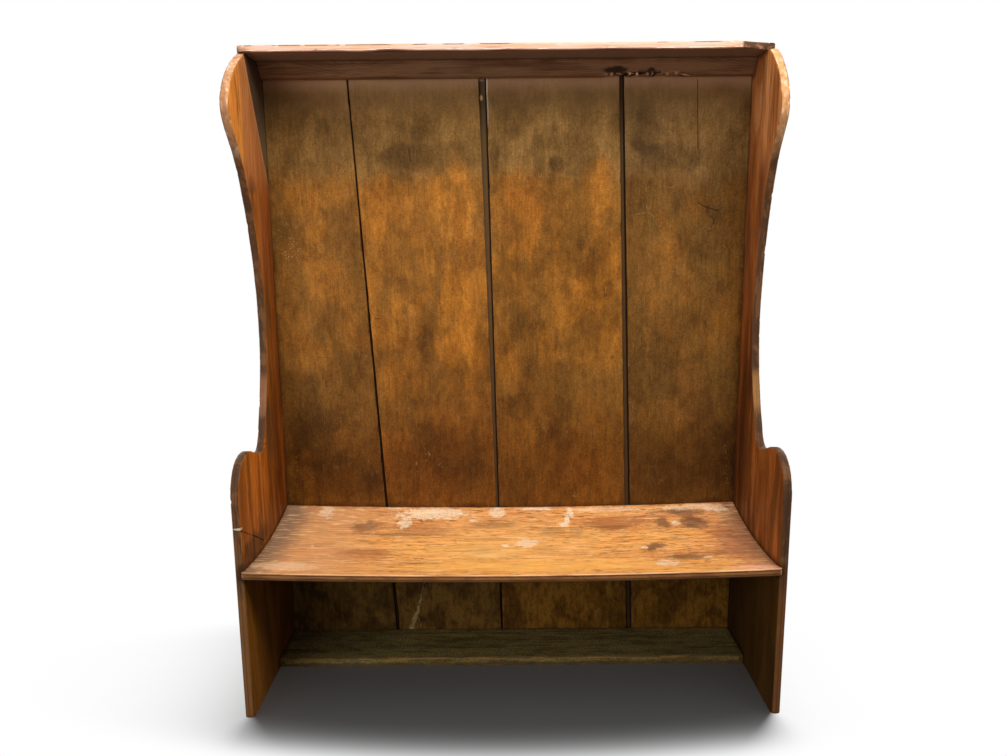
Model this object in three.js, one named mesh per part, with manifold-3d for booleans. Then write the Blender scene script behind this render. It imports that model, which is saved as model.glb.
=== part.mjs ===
// A monks bench: a high-backed pine settle nailed up from wide boards.
// Two shaped ends stand on the floor and carry everything else. The seat slides into a housing
// in each end, a bottom board lies between the feet, and a canted rail and a flat hood close the
// top. Four tapered, half-lapped planks make the back and lie in a rebate of each end.
// Millimetres, +Z up. X runs across the bench and Y from its front to its back.

import * as THREE from "three";
import { mergeVertices } from "three/addons/utils/BufferGeometryUtils.js";
import Module from "manifold-3d";

const wasm = await Module();
wasm.setup();

// Overall sizes
const benchWidth = 1400;
const benchHeight = 1730;
const endDepth = 448;

// Boards
const endThickness = 22;
const plankThickness = 18;
const seatThickness = 20;
const bottomThickness = 26;
const hoodThickness = 20;

// Seat
const seatHeight = 412;
const seatSag = 12;
const seatHollow = 22;
const seatRise = 25;
const seatNosing = 10;
const seatHousing = 8;
const seatCornerRound = 14;
const noseBead = 2.7;
const noseQuirk = 1.2;
const noseRound = 5;

// Bottom board, rail and hood
const bottomDepth = 175;
const bottomRound = 4;
const railHeight = 40;
const railFoot = 26;
const railHead = 56;
const hoodDepth = 178;
const hoodOverhang = 7;
const hoodCornerRound = 16;
const hoodBrokenLength = 96;
const hoodBrokenDepth = 34;

// Outline of an end, as distances behind the front edge and heights above the floor
const footRound = 9;
const armShoulder = 590;
const armHeight = 697;
const armCrown = 95;
const notchBack = 208;
const notchHeight = 667;
const wingRootBack = 250;
const wingRootHeight = 712;
const waistBack = 317;
const waistHeight = 1010;
const wingBendHeight = 1450;
const wingTipHeight = 1558;
// The two ends were sawn by hand, and the left wing comes further forward
const wingReaches = { left: 197, right: 152 };

// Back planks, from the left: the gap that has opened at each joint, at the floor and at the hood
const jointFootGaps = [9, 5, 17];
const jointHeadGaps = [2, 22, 13];
const lapReach = 10;
const lapRoom = 1.5;
const plankLift = 3;
const plankRebate = 10;

// Cut nails
const nailLength = 50;
const nailWidth = 4.6;
const nailThickness = 2.8;
const nailTip = 2;
const nailHeadLength = 9;
const nailHeadWidth = 6.4;
const nailHeadDepth = 2.2;
const nailSet = 0.5;

// Making
const clearance = 0.3;
const arrisRound = 3;
const edgeRound = 3.4;
const overrun = 20;
const weld = 0.001;
const arcSteps = 8;
const bevelSteps = 2;
const sagSteps = 24;
const hollowSteps = 16;

// Where each back joint lies, as shares of the width between the ends
const jointFootShares = [0.236, 0.478, 0.767];
const jointHeadShares = [0.17, 0.44, 0.729];
// How far a wing's bend and its upper shoulder lie along its reach from the waist
const wingBendShare = 0.64;

// Places that follow from the sizes above
const innerHalf = benchWidth / 2 - endThickness;
const plankFace = endDepth - plankThickness;
const hoodSeat = benchHeight - hoodThickness;
const hoodFront = endDepth - hoodDepth;
const seatMiddle = seatHeight - seatThickness / 2;
const seatRear = plankFace - clearance;
const bottomFront = plankFace - bottomDepth;
const railUnder = hoodSeat - railHeight;

// Directions
const right = new THREE.Vector3(1, 0, 0);
const back = new THREE.Vector3(0, 1, 0);
const up = new THREE.Vector3(0, 0, 1);
// Turns a drawing made in depth and height, and thick in its own z, into a board across the bench
const sideways = new THREE.Matrix4().makeBasis(back, up, right);

// Materials, one for each kind of surface
const wood = (color, roughness) => new THREE.MeshStandardMaterial({ color, roughness, metalness: 0 });
const finishes = {
  end: wood(0x8a4a1c, 0.5),
  plank: wood(0x6e4218, 0.58),
  seat: wood(0xb4702f, 0.48),
  bottom: wood(0x3c3018, 0.8),
  rail: wood(0x4c2f1f, 0.62),
  hood: wood(0xb98a5e, 0.66),
  nail: new THREE.MeshStandardMaterial({ color: 0x2b2522, roughness: 0.7, metalness: 0.8 }),
};

// Closed surface to solid, and back
function solidOf(geometry) {
  const bare = geometry.clone();
  bare.deleteAttribute("normal");
  bare.deleteAttribute("uv");
  const merged = mergeVertices(bare, weld);
  const vertProperties = new Float32Array(merged.attributes.position.array);
  const triVerts = new Uint32Array(merged.index.array);
  return new wasm.Manifold(new wasm.Mesh({ numProp: 3, vertProperties, triVerts }));
}

function geometryOf(solid) {
  const mesh = solid.getMesh();
  const geometry = new THREE.BufferGeometry();
  geometry.setAttribute("position", new THREE.BufferAttribute(mesh.vertProperties, 3));
  geometry.setIndex(new THREE.BufferAttribute(mesh.triVerts, 1));
  geometry.computeVertexNormals();
  return geometry;
}

// A box from its lowest to its highest corner
function block(low, high) {
  const size = new THREE.Vector3().subVectors(high, low);
  const middle = new THREE.Vector3().addVectors(low, high).multiplyScalar(0.5);
  return new THREE.BoxGeometry(size.x, size.y, size.z).translate(middle.x, middle.y, middle.z);
}

// A solid skinned over outlines of equal point counts, each { level, outline }, rising in z
function loft(sections) {
  const count = sections[0].outline.length;
  const positions = sections.flatMap(({ level, outline }) => outline.flatMap((p) => [p.x, p.y, level]));
  const index = [];
  for (let ring = 0; ring + 1 < sections.length; ring++) {
    for (let i = 0; i < count; i++) {
      const a = ring * count + i;
      const b = ring * count + ((i + 1) % count);
      index.push(a, b, b + count, a, b + count, a + count);
    }
  }
  const last = (sections.length - 1) * count;
  for (const [a, b, c] of THREE.ShapeUtils.triangulateShape(sections[0].outline, [])) {
    index.push(a, c, b);
  }
  for (const [a, b, c] of THREE.ShapeUtils.triangulateShape(sections.at(-1).outline, [])) {
    index.push(last + a, last + b, last + c);
  }
  const geometry = new THREE.BufferGeometry();
  geometry.setAttribute("position", new THREE.Float32BufferAttribute(positions, 3));
  geometry.setIndex(index);
  return geometry;
}

// A curve to a point whose two handles are shares of the way there, along and up
function bend(shape, to, firstShares, secondShares) {
  const from = shape.currentPoint.clone();
  const handle = (shares) => [
    from.x + (to.x - from.x) * shares[0],
    from.y + (to.y - from.y) * shares[1],
  ];
  shape.bezierCurveTo(...handle(firstShares), ...handle(secondShares), to.x, to.y);
}

// Cut nails: a tapering shank under a flat head, pointing down from the head at zero
function nailGeometry(grow) {
  const rectangle = (length, width) => {
    const x = length / 2 + grow;
    const y = width / 2 + grow;
    const corners = [[-x, -y], [x, -y], [x, y], [-x, y]];
    return corners.map((corner) => new THREE.Vector2(...corner));
  };
  const crown = grow > 0 ? overrun : 0;
  return loft([
    { level: -nailLength - grow, outline: rectangle(nailTip, nailTip) },
    { level: -nailHeadDepth - grow, outline: rectangle(nailWidth, nailThickness) },
    { level: -nailHeadDepth - grow, outline: rectangle(nailHeadLength, nailHeadWidth) },
    { level: -nailHeadDepth / 2, outline: rectangle(nailHeadLength, nailHeadWidth) },
    { level: crown, outline: rectangle(grow > 0 ? nailHeadLength : nailHeadLength - nailHeadDepth,
      grow > 0 ? nailHeadWidth : nailHeadWidth - nailHeadDepth) },
  ]);
}

const nailShape = nailGeometry(0);
const nailHole = nailGeometry(clearance);
const nails = [];

// Drives a nail at a point of a surface, along a direction, with its wide side along the grain
function drive(name, point, into, grain) {
  const out = into.clone().negate();
  const matrix = new THREE.Matrix4().makeBasis(grain, new THREE.Vector3().crossVectors(out, grain), out);
  matrix.setPosition(point.clone().addScaledVector(into, nailSet));
  nails.push({ name, matrix });
}

// A named board at its place, with the holes of every nail that meets it
const bench = new THREE.Group();
const placed = new THREE.Group();
placed.position.y = (seatNosing - endDepth) / 2;
bench.add(placed);

function addBoard(name, finish, solid, place) {
  const mesh = new THREE.Mesh(undefined, finishes[finish].clone());
  mesh.name = name;
  mesh.position.copy(place);
  mesh.updateMatrix();
  const toBoard = mesh.matrix.clone().invert();
  const box = new THREE.Box3().setFromBufferAttribute(geometryOf(solid).attributes.position);
  for (const nail of nails) {
    const hole = nailHole.clone().applyMatrix4(toBoard.clone().multiply(nail.matrix));
    hole.computeBoundingBox();
    if (hole.boundingBox.intersectsBox(box)) solid = solid.subtract(solidOf(hole));
  }
  mesh.geometry = geometryOf(solid);
  placed.add(mesh);
}

// The seat has sagged between the ends, and hollowed from front to back with its rear edge high:
// how far it hangs at a distance from the middle, and how far it rises at a depth
const sagAt = (x) => (Math.abs(x) < innerHalf ? seatSag * (1 - (x / innerHalf) ** 2) : 0);

function riseAt(depth) {
  const share = (depth + seatNosing) / (seatRear + seatNosing);
  return seatRise * share - 4 * seatHollow * share * (1 - share);
}

// Points at even steps between two depths, at one height
function evenly(from, to, height) {
  return Array.from({ length: hollowSteps + 1 }, (_, i) =>
    new THREE.Vector2(THREE.MathUtils.lerp(from, to, i / hollowSteps), height));
}

// Back joints: the front edge of the plank on the left, and the gap beside it, at a height
function jointAt(number, height) {
  const rise = height / hoodSeat;
  const share = THREE.MathUtils.lerp(jointFootShares[number], jointHeadShares[number], rise);
  const gap = THREE.MathUtils.lerp(jointFootGaps[number], jointHeadGaps[number], rise);
  const edge = innerHalf * (2 * share - 1);
  return { edge, lip: edge + gap, tongue: edge + gap + lapReach, shoulder: edge + gap + lapReach + lapRoom };
}

const jointCount = jointFootShares.length;
const plankNumbers = Array.from({ length: jointCount + 1 }, (_, i) => i);
const rebateWall = innerHalf + plankRebate - clearance;

// The full-thickness stretch of a plank at a height, where nails can go
function plankSpan(number, height) {
  const left = number === 0 ? -rebateWall : jointAt(number - 1, height).shoulder;
  const rightEdge = number === jointCount ? rebateWall : jointAt(number, height).edge;
  return [left, rightEdge];
}

// Nails through the planks into the rail, the seat and the bottom board
const plankNailShares = [0.22, 0.78];
const railNailHeight = railUnder + railHeight / 2;
for (const number of plankNumbers) {
  plankNailShares.forEach((share, side) => {
    const spot = (height) => THREE.MathUtils.lerp(...plankSpan(number, height), share);
    const levels = {
      rail: railNailHeight,
      seat: seatMiddle + riseAt(seatRear) - sagAt(spot(seatMiddle)),
      bottom: bottomThickness / 2,
    };
    for (const [level, height] of Object.entries(levels)) {
      const point = new THREE.Vector3(spot(height), endDepth, height);
      drive(`nail_plank_${number + 1}_${level}_${side + 1}`, point, back.clone().negate(), up);
    }
  });
}

// Nails through each end into the seat, the bottom board and the rail, and from the hood into the end
const seatNailShares = [0.14, 0.5, 0.86];
const bottomNailShares = [0.22, 0.78];
const railNailShare = 0.4;
const hoodEndNailShares = [0.18, 0.5];
for (const [side, direction] of Object.entries({ left: -1, right: 1 })) {
  const face = direction * benchWidth / 2;
  const inward = right.clone().multiplyScalar(-direction);
  seatNailShares.forEach((share, i) => {
    const point = new THREE.Vector3(face, seatRear * share, seatMiddle + riseAt(seatRear * share));
    drive(`nail_${side}_end_seat_${i + 1}`, point, inward, up);
  });
  bottomNailShares.forEach((share, i) => {
    const point = new THREE.Vector3(face, bottomFront + bottomDepth * share, bottomThickness / 2);
    drive(`nail_${side}_end_bottom_${i + 1}`, point, inward, up);
  });
  const railPoint = new THREE.Vector3(face, plankFace - railHead * railNailShare, railNailHeight);
  drive(`nail_${side}_end_rail`, railPoint, inward, up);
  hoodEndNailShares.forEach((share, i) => {
    const middle = face - direction * endThickness / 2;
    const point = new THREE.Vector3(middle, hoodFront + hoodDepth * share, benchHeight);
    drive(`nail_hood_${side}_end_${i + 1}`, point, up.clone().negate(), right);
  });
}

// Nails from the hood into the rail, clear of those that come through the planks
const hoodRailNailShares = [0.1, 0.314, 0.593, 0.864];
hoodRailNailShares.forEach((share, i) => {
  const point = new THREE.Vector3(benchWidth * (share - 0.5), plankFace - railHead / 2, benchHeight);
  drive(`nail_hood_rail_${i + 1}`, point, up.clone().negate(), right);
});

// Ends: foot, rounded arm, notch, hollow waist and a wing that reaches forward under the hood
function endOutline(reach) {
  const at = (x, y) => new THREE.Vector2(x, y);
  const wingTip = waistBack - reach;
  const shape = new THREE.Shape();
  shape.moveTo(footRound, -overrun);
  shape.lineTo(footRound, 0);
  shape.absarc(footRound, footRound, footRound, -Math.PI / 2, Math.PI, true);
  shape.lineTo(0, armShoulder);
  bend(shape, at(armCrown, armHeight), [0, 0.55], [0.38, 1]);
  bend(shape, at(notchBack, notchHeight), [0.35, 0], [0.62, 1]);
  bend(shape, at(wingRootBack, wingRootHeight), [0.5, 0], [0.85, 0.5]);
  bend(shape, at(waistBack, waistHeight), [0.33, 0.18], [1, 0.5]);
  bend(shape, at(waistBack - reach * wingBendShare, wingBendHeight), [0, 0.38], [0.5, 0.8]);
  bend(shape, at(wingTip, wingTipHeight), [0.4, 0.37], [1, 0.62]);
  bend(shape, at(hoodFront + hoodOverhang, hoodSeat), [0, 0.36], [0.52, 0.8]);
  shape.lineTo(hoodFront + hoodOverhang, hoodSeat + overrun);
  shape.lineTo(endDepth + overrun, hoodSeat + overrun);
  shape.lineTo(endDepth + overrun, -overrun);
  shape.closePath();
  return shape;
}

function endBoard(reach, direction) {
  const outline = new THREE.ExtrudeGeometry(endOutline(reach), {
    depth: endThickness - 2 * edgeRound,
    bevelThickness: edgeRound,
    bevelSize: edgeRound,
    bevelOffset: -edgeRound,
    bevelSegments: bevelSteps,
    curveSegments: arcSteps,
  });
  outline.translate(0, 0, edgeRound - endThickness / 2).applyMatrix4(sideways);
  const half = endThickness / 2;
  // The foot, the top and the back are sawn square
  const trim = block(
    new THREE.Vector3(-half - overrun, -overrun, 0),
    new THREE.Vector3(half + overrun, endDepth, hoodSeat),
  );
  // Cuts are made from the inner face, which lies towards the middle of the bench
  const reachIn = (depthIn) => {
    const limits = [-direction * (half + overrun), -direction * (half - depthIn)];
    return [Math.min(...limits), Math.max(...limits)];
  };
  const [rebateLow, rebateHigh] = reachIn(plankRebate);
  const rebate = block(
    new THREE.Vector3(rebateLow, seatRear, -overrun),
    new THREE.Vector3(rebateHigh, endDepth + overrun, hoodSeat + overrun),
  );
  // The housing follows the hollow of the seat that slides into it
  const hollowed = (points) => points.map((p) => new THREE.Vector2(p.x, p.y + riseAt(p.x)));
  const slot = hollowed([
    ...evenly(-overrun, plankFace, seatHeight - seatThickness - clearance),
    ...evenly(plankFace, -overrun, seatHeight + clearance),
  ]);
  const housing = loft(reachIn(seatHousing).map((level) => ({ level, outline: slot })));
  return solidOf(outline)
    .intersect(solidOf(trim))
    .subtract(solidOf(rebate))
    .subtract(solidOf(housing.applyMatrix4(sideways)));
}

for (const [side, direction] of Object.entries({ left: -1, right: 1 })) {
  const middle = direction * (benchWidth - endThickness) / 2;
  addBoard(`end_${side}`, "end", endBoard(wingReaches[side], direction), new THREE.Vector3(middle, 0, 0));
}

// Back planks: full thickness between the joints, with a tongue behind the next plank's lip
function plankOutline(number, height) {
  const faceHalf = (plankThickness - clearance) / 2;
  const points = [];
  const add = (x, y) => points.push(new THREE.Vector2(x, y));
  const [left, rightEdge] = plankSpan(number, height);
  if (number === 0) {
    add(left, 0);
  } else {
    add(jointAt(number - 1, height).lip, 0);
  }
  add(rightEdge, 0);
  if (number < jointCount) {
    add(rightEdge, plankThickness - faceHalf);
    add(jointAt(number, height).tongue, plankThickness - faceHalf);
    add(jointAt(number, height).tongue, plankThickness);
  } else {
    add(rightEdge, plankThickness);
  }
  add(left, plankThickness);
  if (number > 0) {
    add(left, faceHalf);
    add(jointAt(number - 1, height).lip, faceHalf);
  }
  return points;
}

for (const number of plankNumbers) {
  const levels = [plankLift, hoodSeat - clearance];
  const solid = solidOf(loft(levels.map((level) => ({ level, outline: plankOutline(number, level) }))));
  addBoard(`back_plank_${number + 1}`, "plank", solid, new THREE.Vector3(0, plankFace, 0));
}

// Seat: one board with a beaded nosing, whose ends slide into the housings
function seatProfile() {
  const shape = new THREE.Shape();
  const quirkHeight = -2 * noseBead;
  shape.moveTo(noseRound - seatNosing, -seatThickness);
  shape.absarc(noseRound - seatNosing, noseRound - seatThickness, noseRound, -Math.PI / 2, -Math.PI, true);
  shape.lineTo(-seatNosing, quirkHeight - noseQuirk);
  shape.lineTo(noseQuirk - seatNosing, quirkHeight);
  shape.absarc(noseBead - seatNosing, -noseBead, noseBead, -Math.PI * 0.8, Math.PI / 2, true);
  const nose = shape.getPoints(arcSteps);
  const under = evenly(seatRear, noseRound - seatNosing, -seatThickness).slice(0, -1);
  const top = evenly(noseBead - seatNosing, seatRear, 0).slice(1);
  // The points run clockwise, so they are turned round
  return [...under, ...nose, ...top].reverse();
}

function seatBoard() {
  const half = innerHalf + seatHousing - clearance;
  const stations = Array.from({ length: sagSteps + 1 }, (_, i) => innerHalf * (2 * i / sagSteps - 1));
  const profile = seatProfile();
  const sections = [-half, ...stations, half].map((x) => ({
    level: x,
    outline: profile.map((p) => new THREE.Vector2(p.x, p.y + riseAt(p.x) - sagAt(x))),
  }));
  const plan = new THREE.Shape();
  plan.moveTo(half + overrun, plankFace);
  plan.lineTo(-half - overrun, plankFace);
  plan.lineTo(-half - overrun, seatCornerRound);
  plan.lineTo(-half, seatCornerRound);
  plan.lineTo(-half, seatCornerRound - seatNosing);
  plan.absarc(seatCornerRound - half, seatCornerRound - seatNosing, seatCornerRound,
    Math.PI, Math.PI * 1.5, false);
  plan.absarc(half - seatCornerRound, seatCornerRound - seatNosing, seatCornerRound,
    Math.PI * 1.5, Math.PI * 2, false);
  plan.lineTo(half, seatCornerRound);
  plan.lineTo(half + overrun, seatCornerRound);
  plan.closePath();
  const depth = seatThickness + seatSag + seatHollow + seatRise + 2 * overrun;
  const rounding = new THREE.ExtrudeGeometry(plan, { depth, bevelEnabled: false, curveSegments: arcSteps });
  rounding.translate(0, 0, seatRise + overrun - depth);
  const board = solidOf(loft(sections).applyMatrix4(sideways));
  return board.intersect(solidOf(rounding));
}

addBoard("seat_board", "seat", seatBoard(), new THREE.Vector3(0, 0, seatHeight));

// Boards of one section that run from end to end
function crossBoard(profile) {
  const depth = 2 * (innerHalf - clearance);
  const geometry = new THREE.ExtrudeGeometry(profile, { depth, bevelEnabled: false, curveSegments: arcSteps });
  return solidOf(geometry.translate(0, 0, -depth / 2).applyMatrix4(sideways));
}

function bottomProfile() {
  const shape = new THREE.Shape();
  shape.moveTo(0, 0);
  shape.lineTo(bottomDepth - clearance, 0);
  shape.lineTo(bottomDepth - clearance, bottomThickness);
  shape.lineTo(bottomRound, bottomThickness);
  shape.absarc(bottomRound, bottomThickness - bottomRound, bottomRound, Math.PI / 2, Math.PI, false);
  shape.closePath();
  return shape;
}

addBoard("bottom_board", "bottom", crossBoard(bottomProfile()), new THREE.Vector3(0, bottomFront, 0));

// Rail: its face leans forward to the top, where the hood is nailed to it
function railProfile() {
  const shape = new THREE.Shape();
  shape.moveTo(-clearance, 0);
  shape.lineTo(-clearance, railHeight - clearance);
  shape.lineTo(-railHead, railHeight - clearance);
  shape.lineTo(-railFoot - arrisRound, arrisRound);
  shape.lineTo(-railFoot + arrisRound, 0);
  shape.closePath();
  return shape;
}

addBoard("top_rail", "rail", crossBoard(railProfile()), new THREE.Vector3(0, plankFace, railUnder));

// Hood: a flat board over the ends, rounded at one front corner and broken away at the other
function hoodBoard() {
  const half = benchWidth / 2;
  const plan = new THREE.Shape();
  plan.moveTo(half, hoodDepth);
  plan.lineTo(-half, hoodDepth);
  plan.lineTo(-half, hoodCornerRound);
  plan.absarc(hoodCornerRound - half, hoodCornerRound, hoodCornerRound, Math.PI, Math.PI * 1.5, false);
  plan.lineTo(half - hoodBrokenLength, 0);
  bend(plan, new THREE.Vector2(half, hoodBrokenDepth), [0.3, 0.55], [0.7, 0.6]);
  plan.closePath();
  const geometry = new THREE.ExtrudeGeometry(plan, {
    depth: hoodThickness - clearance - 2 * arrisRound,
    bevelThickness: arrisRound,
    bevelSize: arrisRound,
    bevelOffset: -arrisRound,
    bevelSegments: bevelSteps,
    curveSegments: arcSteps,
  });
  return solidOf(geometry.translate(0, 0, arrisRound));
}

addBoard("hood_board", "hood", hoodBoard(), new THREE.Vector3(0, hoodFront, hoodSeat + clearance));

for (const { name, matrix } of nails) {
  const mesh = new THREE.Mesh(nailShape.clone(), finishes.nail.clone());
  mesh.name = name;
  matrix.decompose(mesh.position, mesh.quaternion, mesh.scale);
  placed.add(mesh);
}

export default bench;
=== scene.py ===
# %% [markdown]
# # An old boarded bench with a high back
# The bench stands in a frame packed from its CAD model: ten pine boards and the nails that hold
# them. This lesson dresses that frame. Each board is remade as a fine mesh with worn edges, and
# each gets a wood finish made of nodes. Nothing here moves or resizes what the CAD model fixed.

import itertools
import math

import bmesh
import bpy
import numpy as np
from mathutils import Matrix, Vector
from mathutils.bvhtree import BVHTree
from mathutils.kdtree import KDTree


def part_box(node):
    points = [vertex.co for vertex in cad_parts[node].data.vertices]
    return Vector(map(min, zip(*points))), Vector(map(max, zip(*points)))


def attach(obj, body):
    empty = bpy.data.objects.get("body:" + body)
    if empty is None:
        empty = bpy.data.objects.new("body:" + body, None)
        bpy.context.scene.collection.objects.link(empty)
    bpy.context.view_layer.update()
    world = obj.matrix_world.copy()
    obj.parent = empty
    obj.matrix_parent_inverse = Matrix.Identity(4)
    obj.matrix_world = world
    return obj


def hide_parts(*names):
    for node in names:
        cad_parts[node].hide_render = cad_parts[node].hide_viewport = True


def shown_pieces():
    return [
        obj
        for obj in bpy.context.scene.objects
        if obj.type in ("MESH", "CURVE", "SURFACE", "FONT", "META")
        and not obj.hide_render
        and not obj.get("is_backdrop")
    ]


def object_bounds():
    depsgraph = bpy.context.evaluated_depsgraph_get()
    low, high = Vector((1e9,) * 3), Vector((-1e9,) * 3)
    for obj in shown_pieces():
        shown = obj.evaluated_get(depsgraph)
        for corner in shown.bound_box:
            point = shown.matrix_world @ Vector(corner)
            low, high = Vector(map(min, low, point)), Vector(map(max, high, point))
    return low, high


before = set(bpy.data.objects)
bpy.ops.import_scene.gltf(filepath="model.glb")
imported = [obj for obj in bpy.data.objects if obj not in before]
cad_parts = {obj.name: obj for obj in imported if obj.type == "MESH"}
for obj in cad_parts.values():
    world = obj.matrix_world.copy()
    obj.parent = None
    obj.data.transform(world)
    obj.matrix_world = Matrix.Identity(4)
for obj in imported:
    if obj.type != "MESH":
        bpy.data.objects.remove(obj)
cad_low, cad_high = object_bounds()
MM = 0.001
BOARD_NAMES = [name for name in sorted(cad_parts) if not name.startswith("nail_")]
NAIL_NAMES = [name for name in sorted(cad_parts) if name.startswith("nail_")]
print("boards:", len(BOARD_NAMES), "nails:", len(NAIL_NAMES))
print("CAD box in metres:", [round(v, 3) for v in (*cad_low, *cad_high)])

# %% [markdown]
# ## Camera
# The picture was taken from standing height, close to the bench, so the ends splay outwards in
# perspective. A camera is easiest to place by its three axes: where it looks, its right and its
# up. The focal length is worked out in pixels of a picture 1007 wide, then turned into a lens.

# %% Place the camera
PICTURE_WIDTH = 1007
SENSOR_WIDTH = 36.0
FOCAL_PIXELS = 800.9
CAMERA_PLACE = Vector((-0.0126, cad_low.y - 1.8963, 1.249))
PITCH = math.radians(10.28)
ROLL = math.radians(-0.5)
YAW = math.radians(-0.11)


def camera_axes(pitch, roll, yaw):
    """The camera's right, up and forward directions."""
    level = Vector((math.cos(yaw), -math.sin(yaw), 0))
    ahead = math.cos(pitch)
    forward = Vector((math.sin(yaw) * ahead, math.cos(yaw) * ahead, -math.sin(pitch)))
    upright = level.cross(forward)
    right = level * math.cos(roll) + upright * math.sin(roll)
    up = upright * math.cos(roll) - level * math.sin(roll)
    return right, up, forward


def add_object(name, data):
    """Puts a new object into the scene."""
    thing = bpy.data.objects.new(name, data)
    bpy.context.scene.collection.objects.link(thing)
    return thing


right, up, forward = camera_axes(PITCH, ROLL, YAW)
camera = add_object("camera", bpy.data.cameras.new("camera"))
turned = Matrix((right, up, -forward)).transposed().to_4x4()
camera.matrix_world = Matrix.Translation(CAMERA_PLACE) @ turned
camera.data.sensor_fit = "HORIZONTAL"
camera.data.sensor_width = SENSOR_WIDTH
camera.data.lens = FOCAL_PIXELS / PICTURE_WIDTH * SENSOR_WIDTH
bpy.context.scene.camera = camera
bpy.context.scene.view_settings.view_transform = "Standard"
print("lens:", round(camera.data.lens, 2), "mm")

# %% [markdown]
# ## Nodes by the handful
# A wood finish takes many small nodes. These helpers add one node each: a socket that is given is
# linked, and a plain number or colour is set. They keep each later step down to a line or two.


# %% Helpers that add one node
def feed(tree, socket, value):
    """Links a socket, or sets a plain number, vector or colour."""
    if isinstance(value, bpy.types.NodeSocket):
        tree.links.new(value, socket)
    else:
        socket.default_value = value


def maths(tree, kind, first, second=0.0, third=0.0):
    """One sum, such as ADD, POWER or MULTIPLY_ADD."""
    node = tree.nodes.new("ShaderNodeMath")
    node.operation = kind
    for socket, value in zip(node.inputs, (first, second, third)):
        feed(tree, socket, value)
    return node.outputs[0]


def vector_maths(tree, kind, first, second=(0.0, 0.0, 0.0)):
    """One sum of vectors, or a vector's length."""
    node = tree.nodes.new("ShaderNodeVectorMath")
    node.operation = kind
    feed(tree, node.inputs[0], first)
    feed(tree, node.inputs[1], second)
    return node.outputs["Value" if kind == "LENGTH" else "Vector"]


def ease(tree, value, low, high, start=0.0, stop=1.0):
    """Goes smoothly from start to stop while value goes from low to high."""
    node = tree.nodes.new("ShaderNodeMapRange")
    node.interpolation_type = "SMOOTHSTEP"
    for socket, given in zip(node.inputs, (value, low, high, start, stop)):
        feed(tree, socket, given)
    return node.outputs[0]


def noise(tree, vector, scale=1.0, detail=3.0, roughness=0.5, distortion=0.0):
    """Cloudy numbers that gather round a half."""
    node = tree.nodes.new("ShaderNodeTexNoise")
    values = {"Scale": scale, "Detail": detail, "Roughness": roughness, "Distortion": distortion}
    for name, value in {"Vector": vector, **values}.items():
        feed(tree, node.inputs[name], value)
    return node.outputs[0]


def blend(tree, share, first, second, kind="MIX"):
    """Mixes two colours; kind is a blend mode such as MULTIPLY."""
    node = tree.nodes.new("ShaderNodeMix")
    node.data_type = "RGBA"
    node.blend_type = kind
    feed(tree, node.inputs["Factor"], share)
    feed(tree, node.inputs[6], first)
    feed(tree, node.inputs[7], second)
    return node.outputs[2]


def swayed(tree, value, cloud, amount):
    """A value pushed up and down by a cloud of noise."""
    return maths(tree, "MULTIPLY_ADD", maths(tree, "SUBTRACT", cloud, 0.5), amount, value)


def carried(tree, name):
    """A number that the mesh carries for each of its points."""
    node = tree.nodes.new("ShaderNodeAttribute")
    node.attribute_name = name
    return node.outputs["Fac"]


def new_material(name):
    """A material, its node tree and its shader."""
    material = bpy.data.materials.new(name)
    material.use_nodes = True
    return material, material.node_tree, material.node_tree.nodes["Principled BSDF"]


def paint(red, green, blue):
    """A colour named as on a paint chart, 0 to 255, as the linear colour that nodes use."""
    shares = (red / 255, green / 255, blue / 255)
    linear = [c / 12.92 if c <= 0.04045 else ((c + 0.055) / 1.055) ** 2.4 for c in shares]
    return (*linear, 1.0)


# %% [markdown]
# ## Effects as node groups
# Growth rings, blotches, knots, edge wear and dirt turn up on every board. Each is built once as a
# node group with named inputs, and every finish places the same group with its own values. A group
# hands out only masks and numbers; the shader itself stays in each material.

# %% A helper that starts a node group
PLACE = (0.0, 0.0, 0.0)


def start_group(name, inputs, outputs):
    """Makes a node group. inputs is {name: default}, a number or three; outputs are all numbers."""
    tree = bpy.data.node_groups.new(name, "ShaderNodeTree")
    for socket_name, default in inputs.items():
        kind = "NodeSocketVector" if isinstance(default, tuple) else "NodeSocketFloat"
        tree.interface.new_socket(socket_name, in_out="INPUT", socket_type=kind).default_value = default
    for socket_name in outputs:
        tree.interface.new_socket(socket_name, in_out="OUTPUT", socket_type="NodeSocketFloat")
    given = tree.nodes.new("NodeGroupInput").outputs
    made = tree.nodes.new("NodeGroupOutput").inputs
    return tree, given, made


# %% [markdown]
# ### Pine figure
# A sawn board is a slice through nearly round growth rings. So the figure is worked out as the
# distance from a pith line that runs behind the board and wanders along it: where the slice comes
# close to the pith, the rings open into arches, and to the sides they close up into straight grain.
# Fine fibres and broader streaks, both drawn out along the grain, lie over the rings.

# %% Build the pine figure
tree, given, made = start_group(
    "pine_figure",
    {
        "Grain": PLACE,
        "Ring Width": 0.005,
        "Pith Depth": 0.06,
        "Pith Shift": 0.0,
        "Wander": 1.0,
        "Bulge": 0.0,
    },
    ("Rings", "Fibre", "Streak"),
)
SLOW_STRETCH = (3.0, 3.0, 1.1)
FIBRE_STRETCH = (700.0, 300.0, 16.0)
STREAK_STRETCH = (110.0, 50.0, 5.5)
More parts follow.
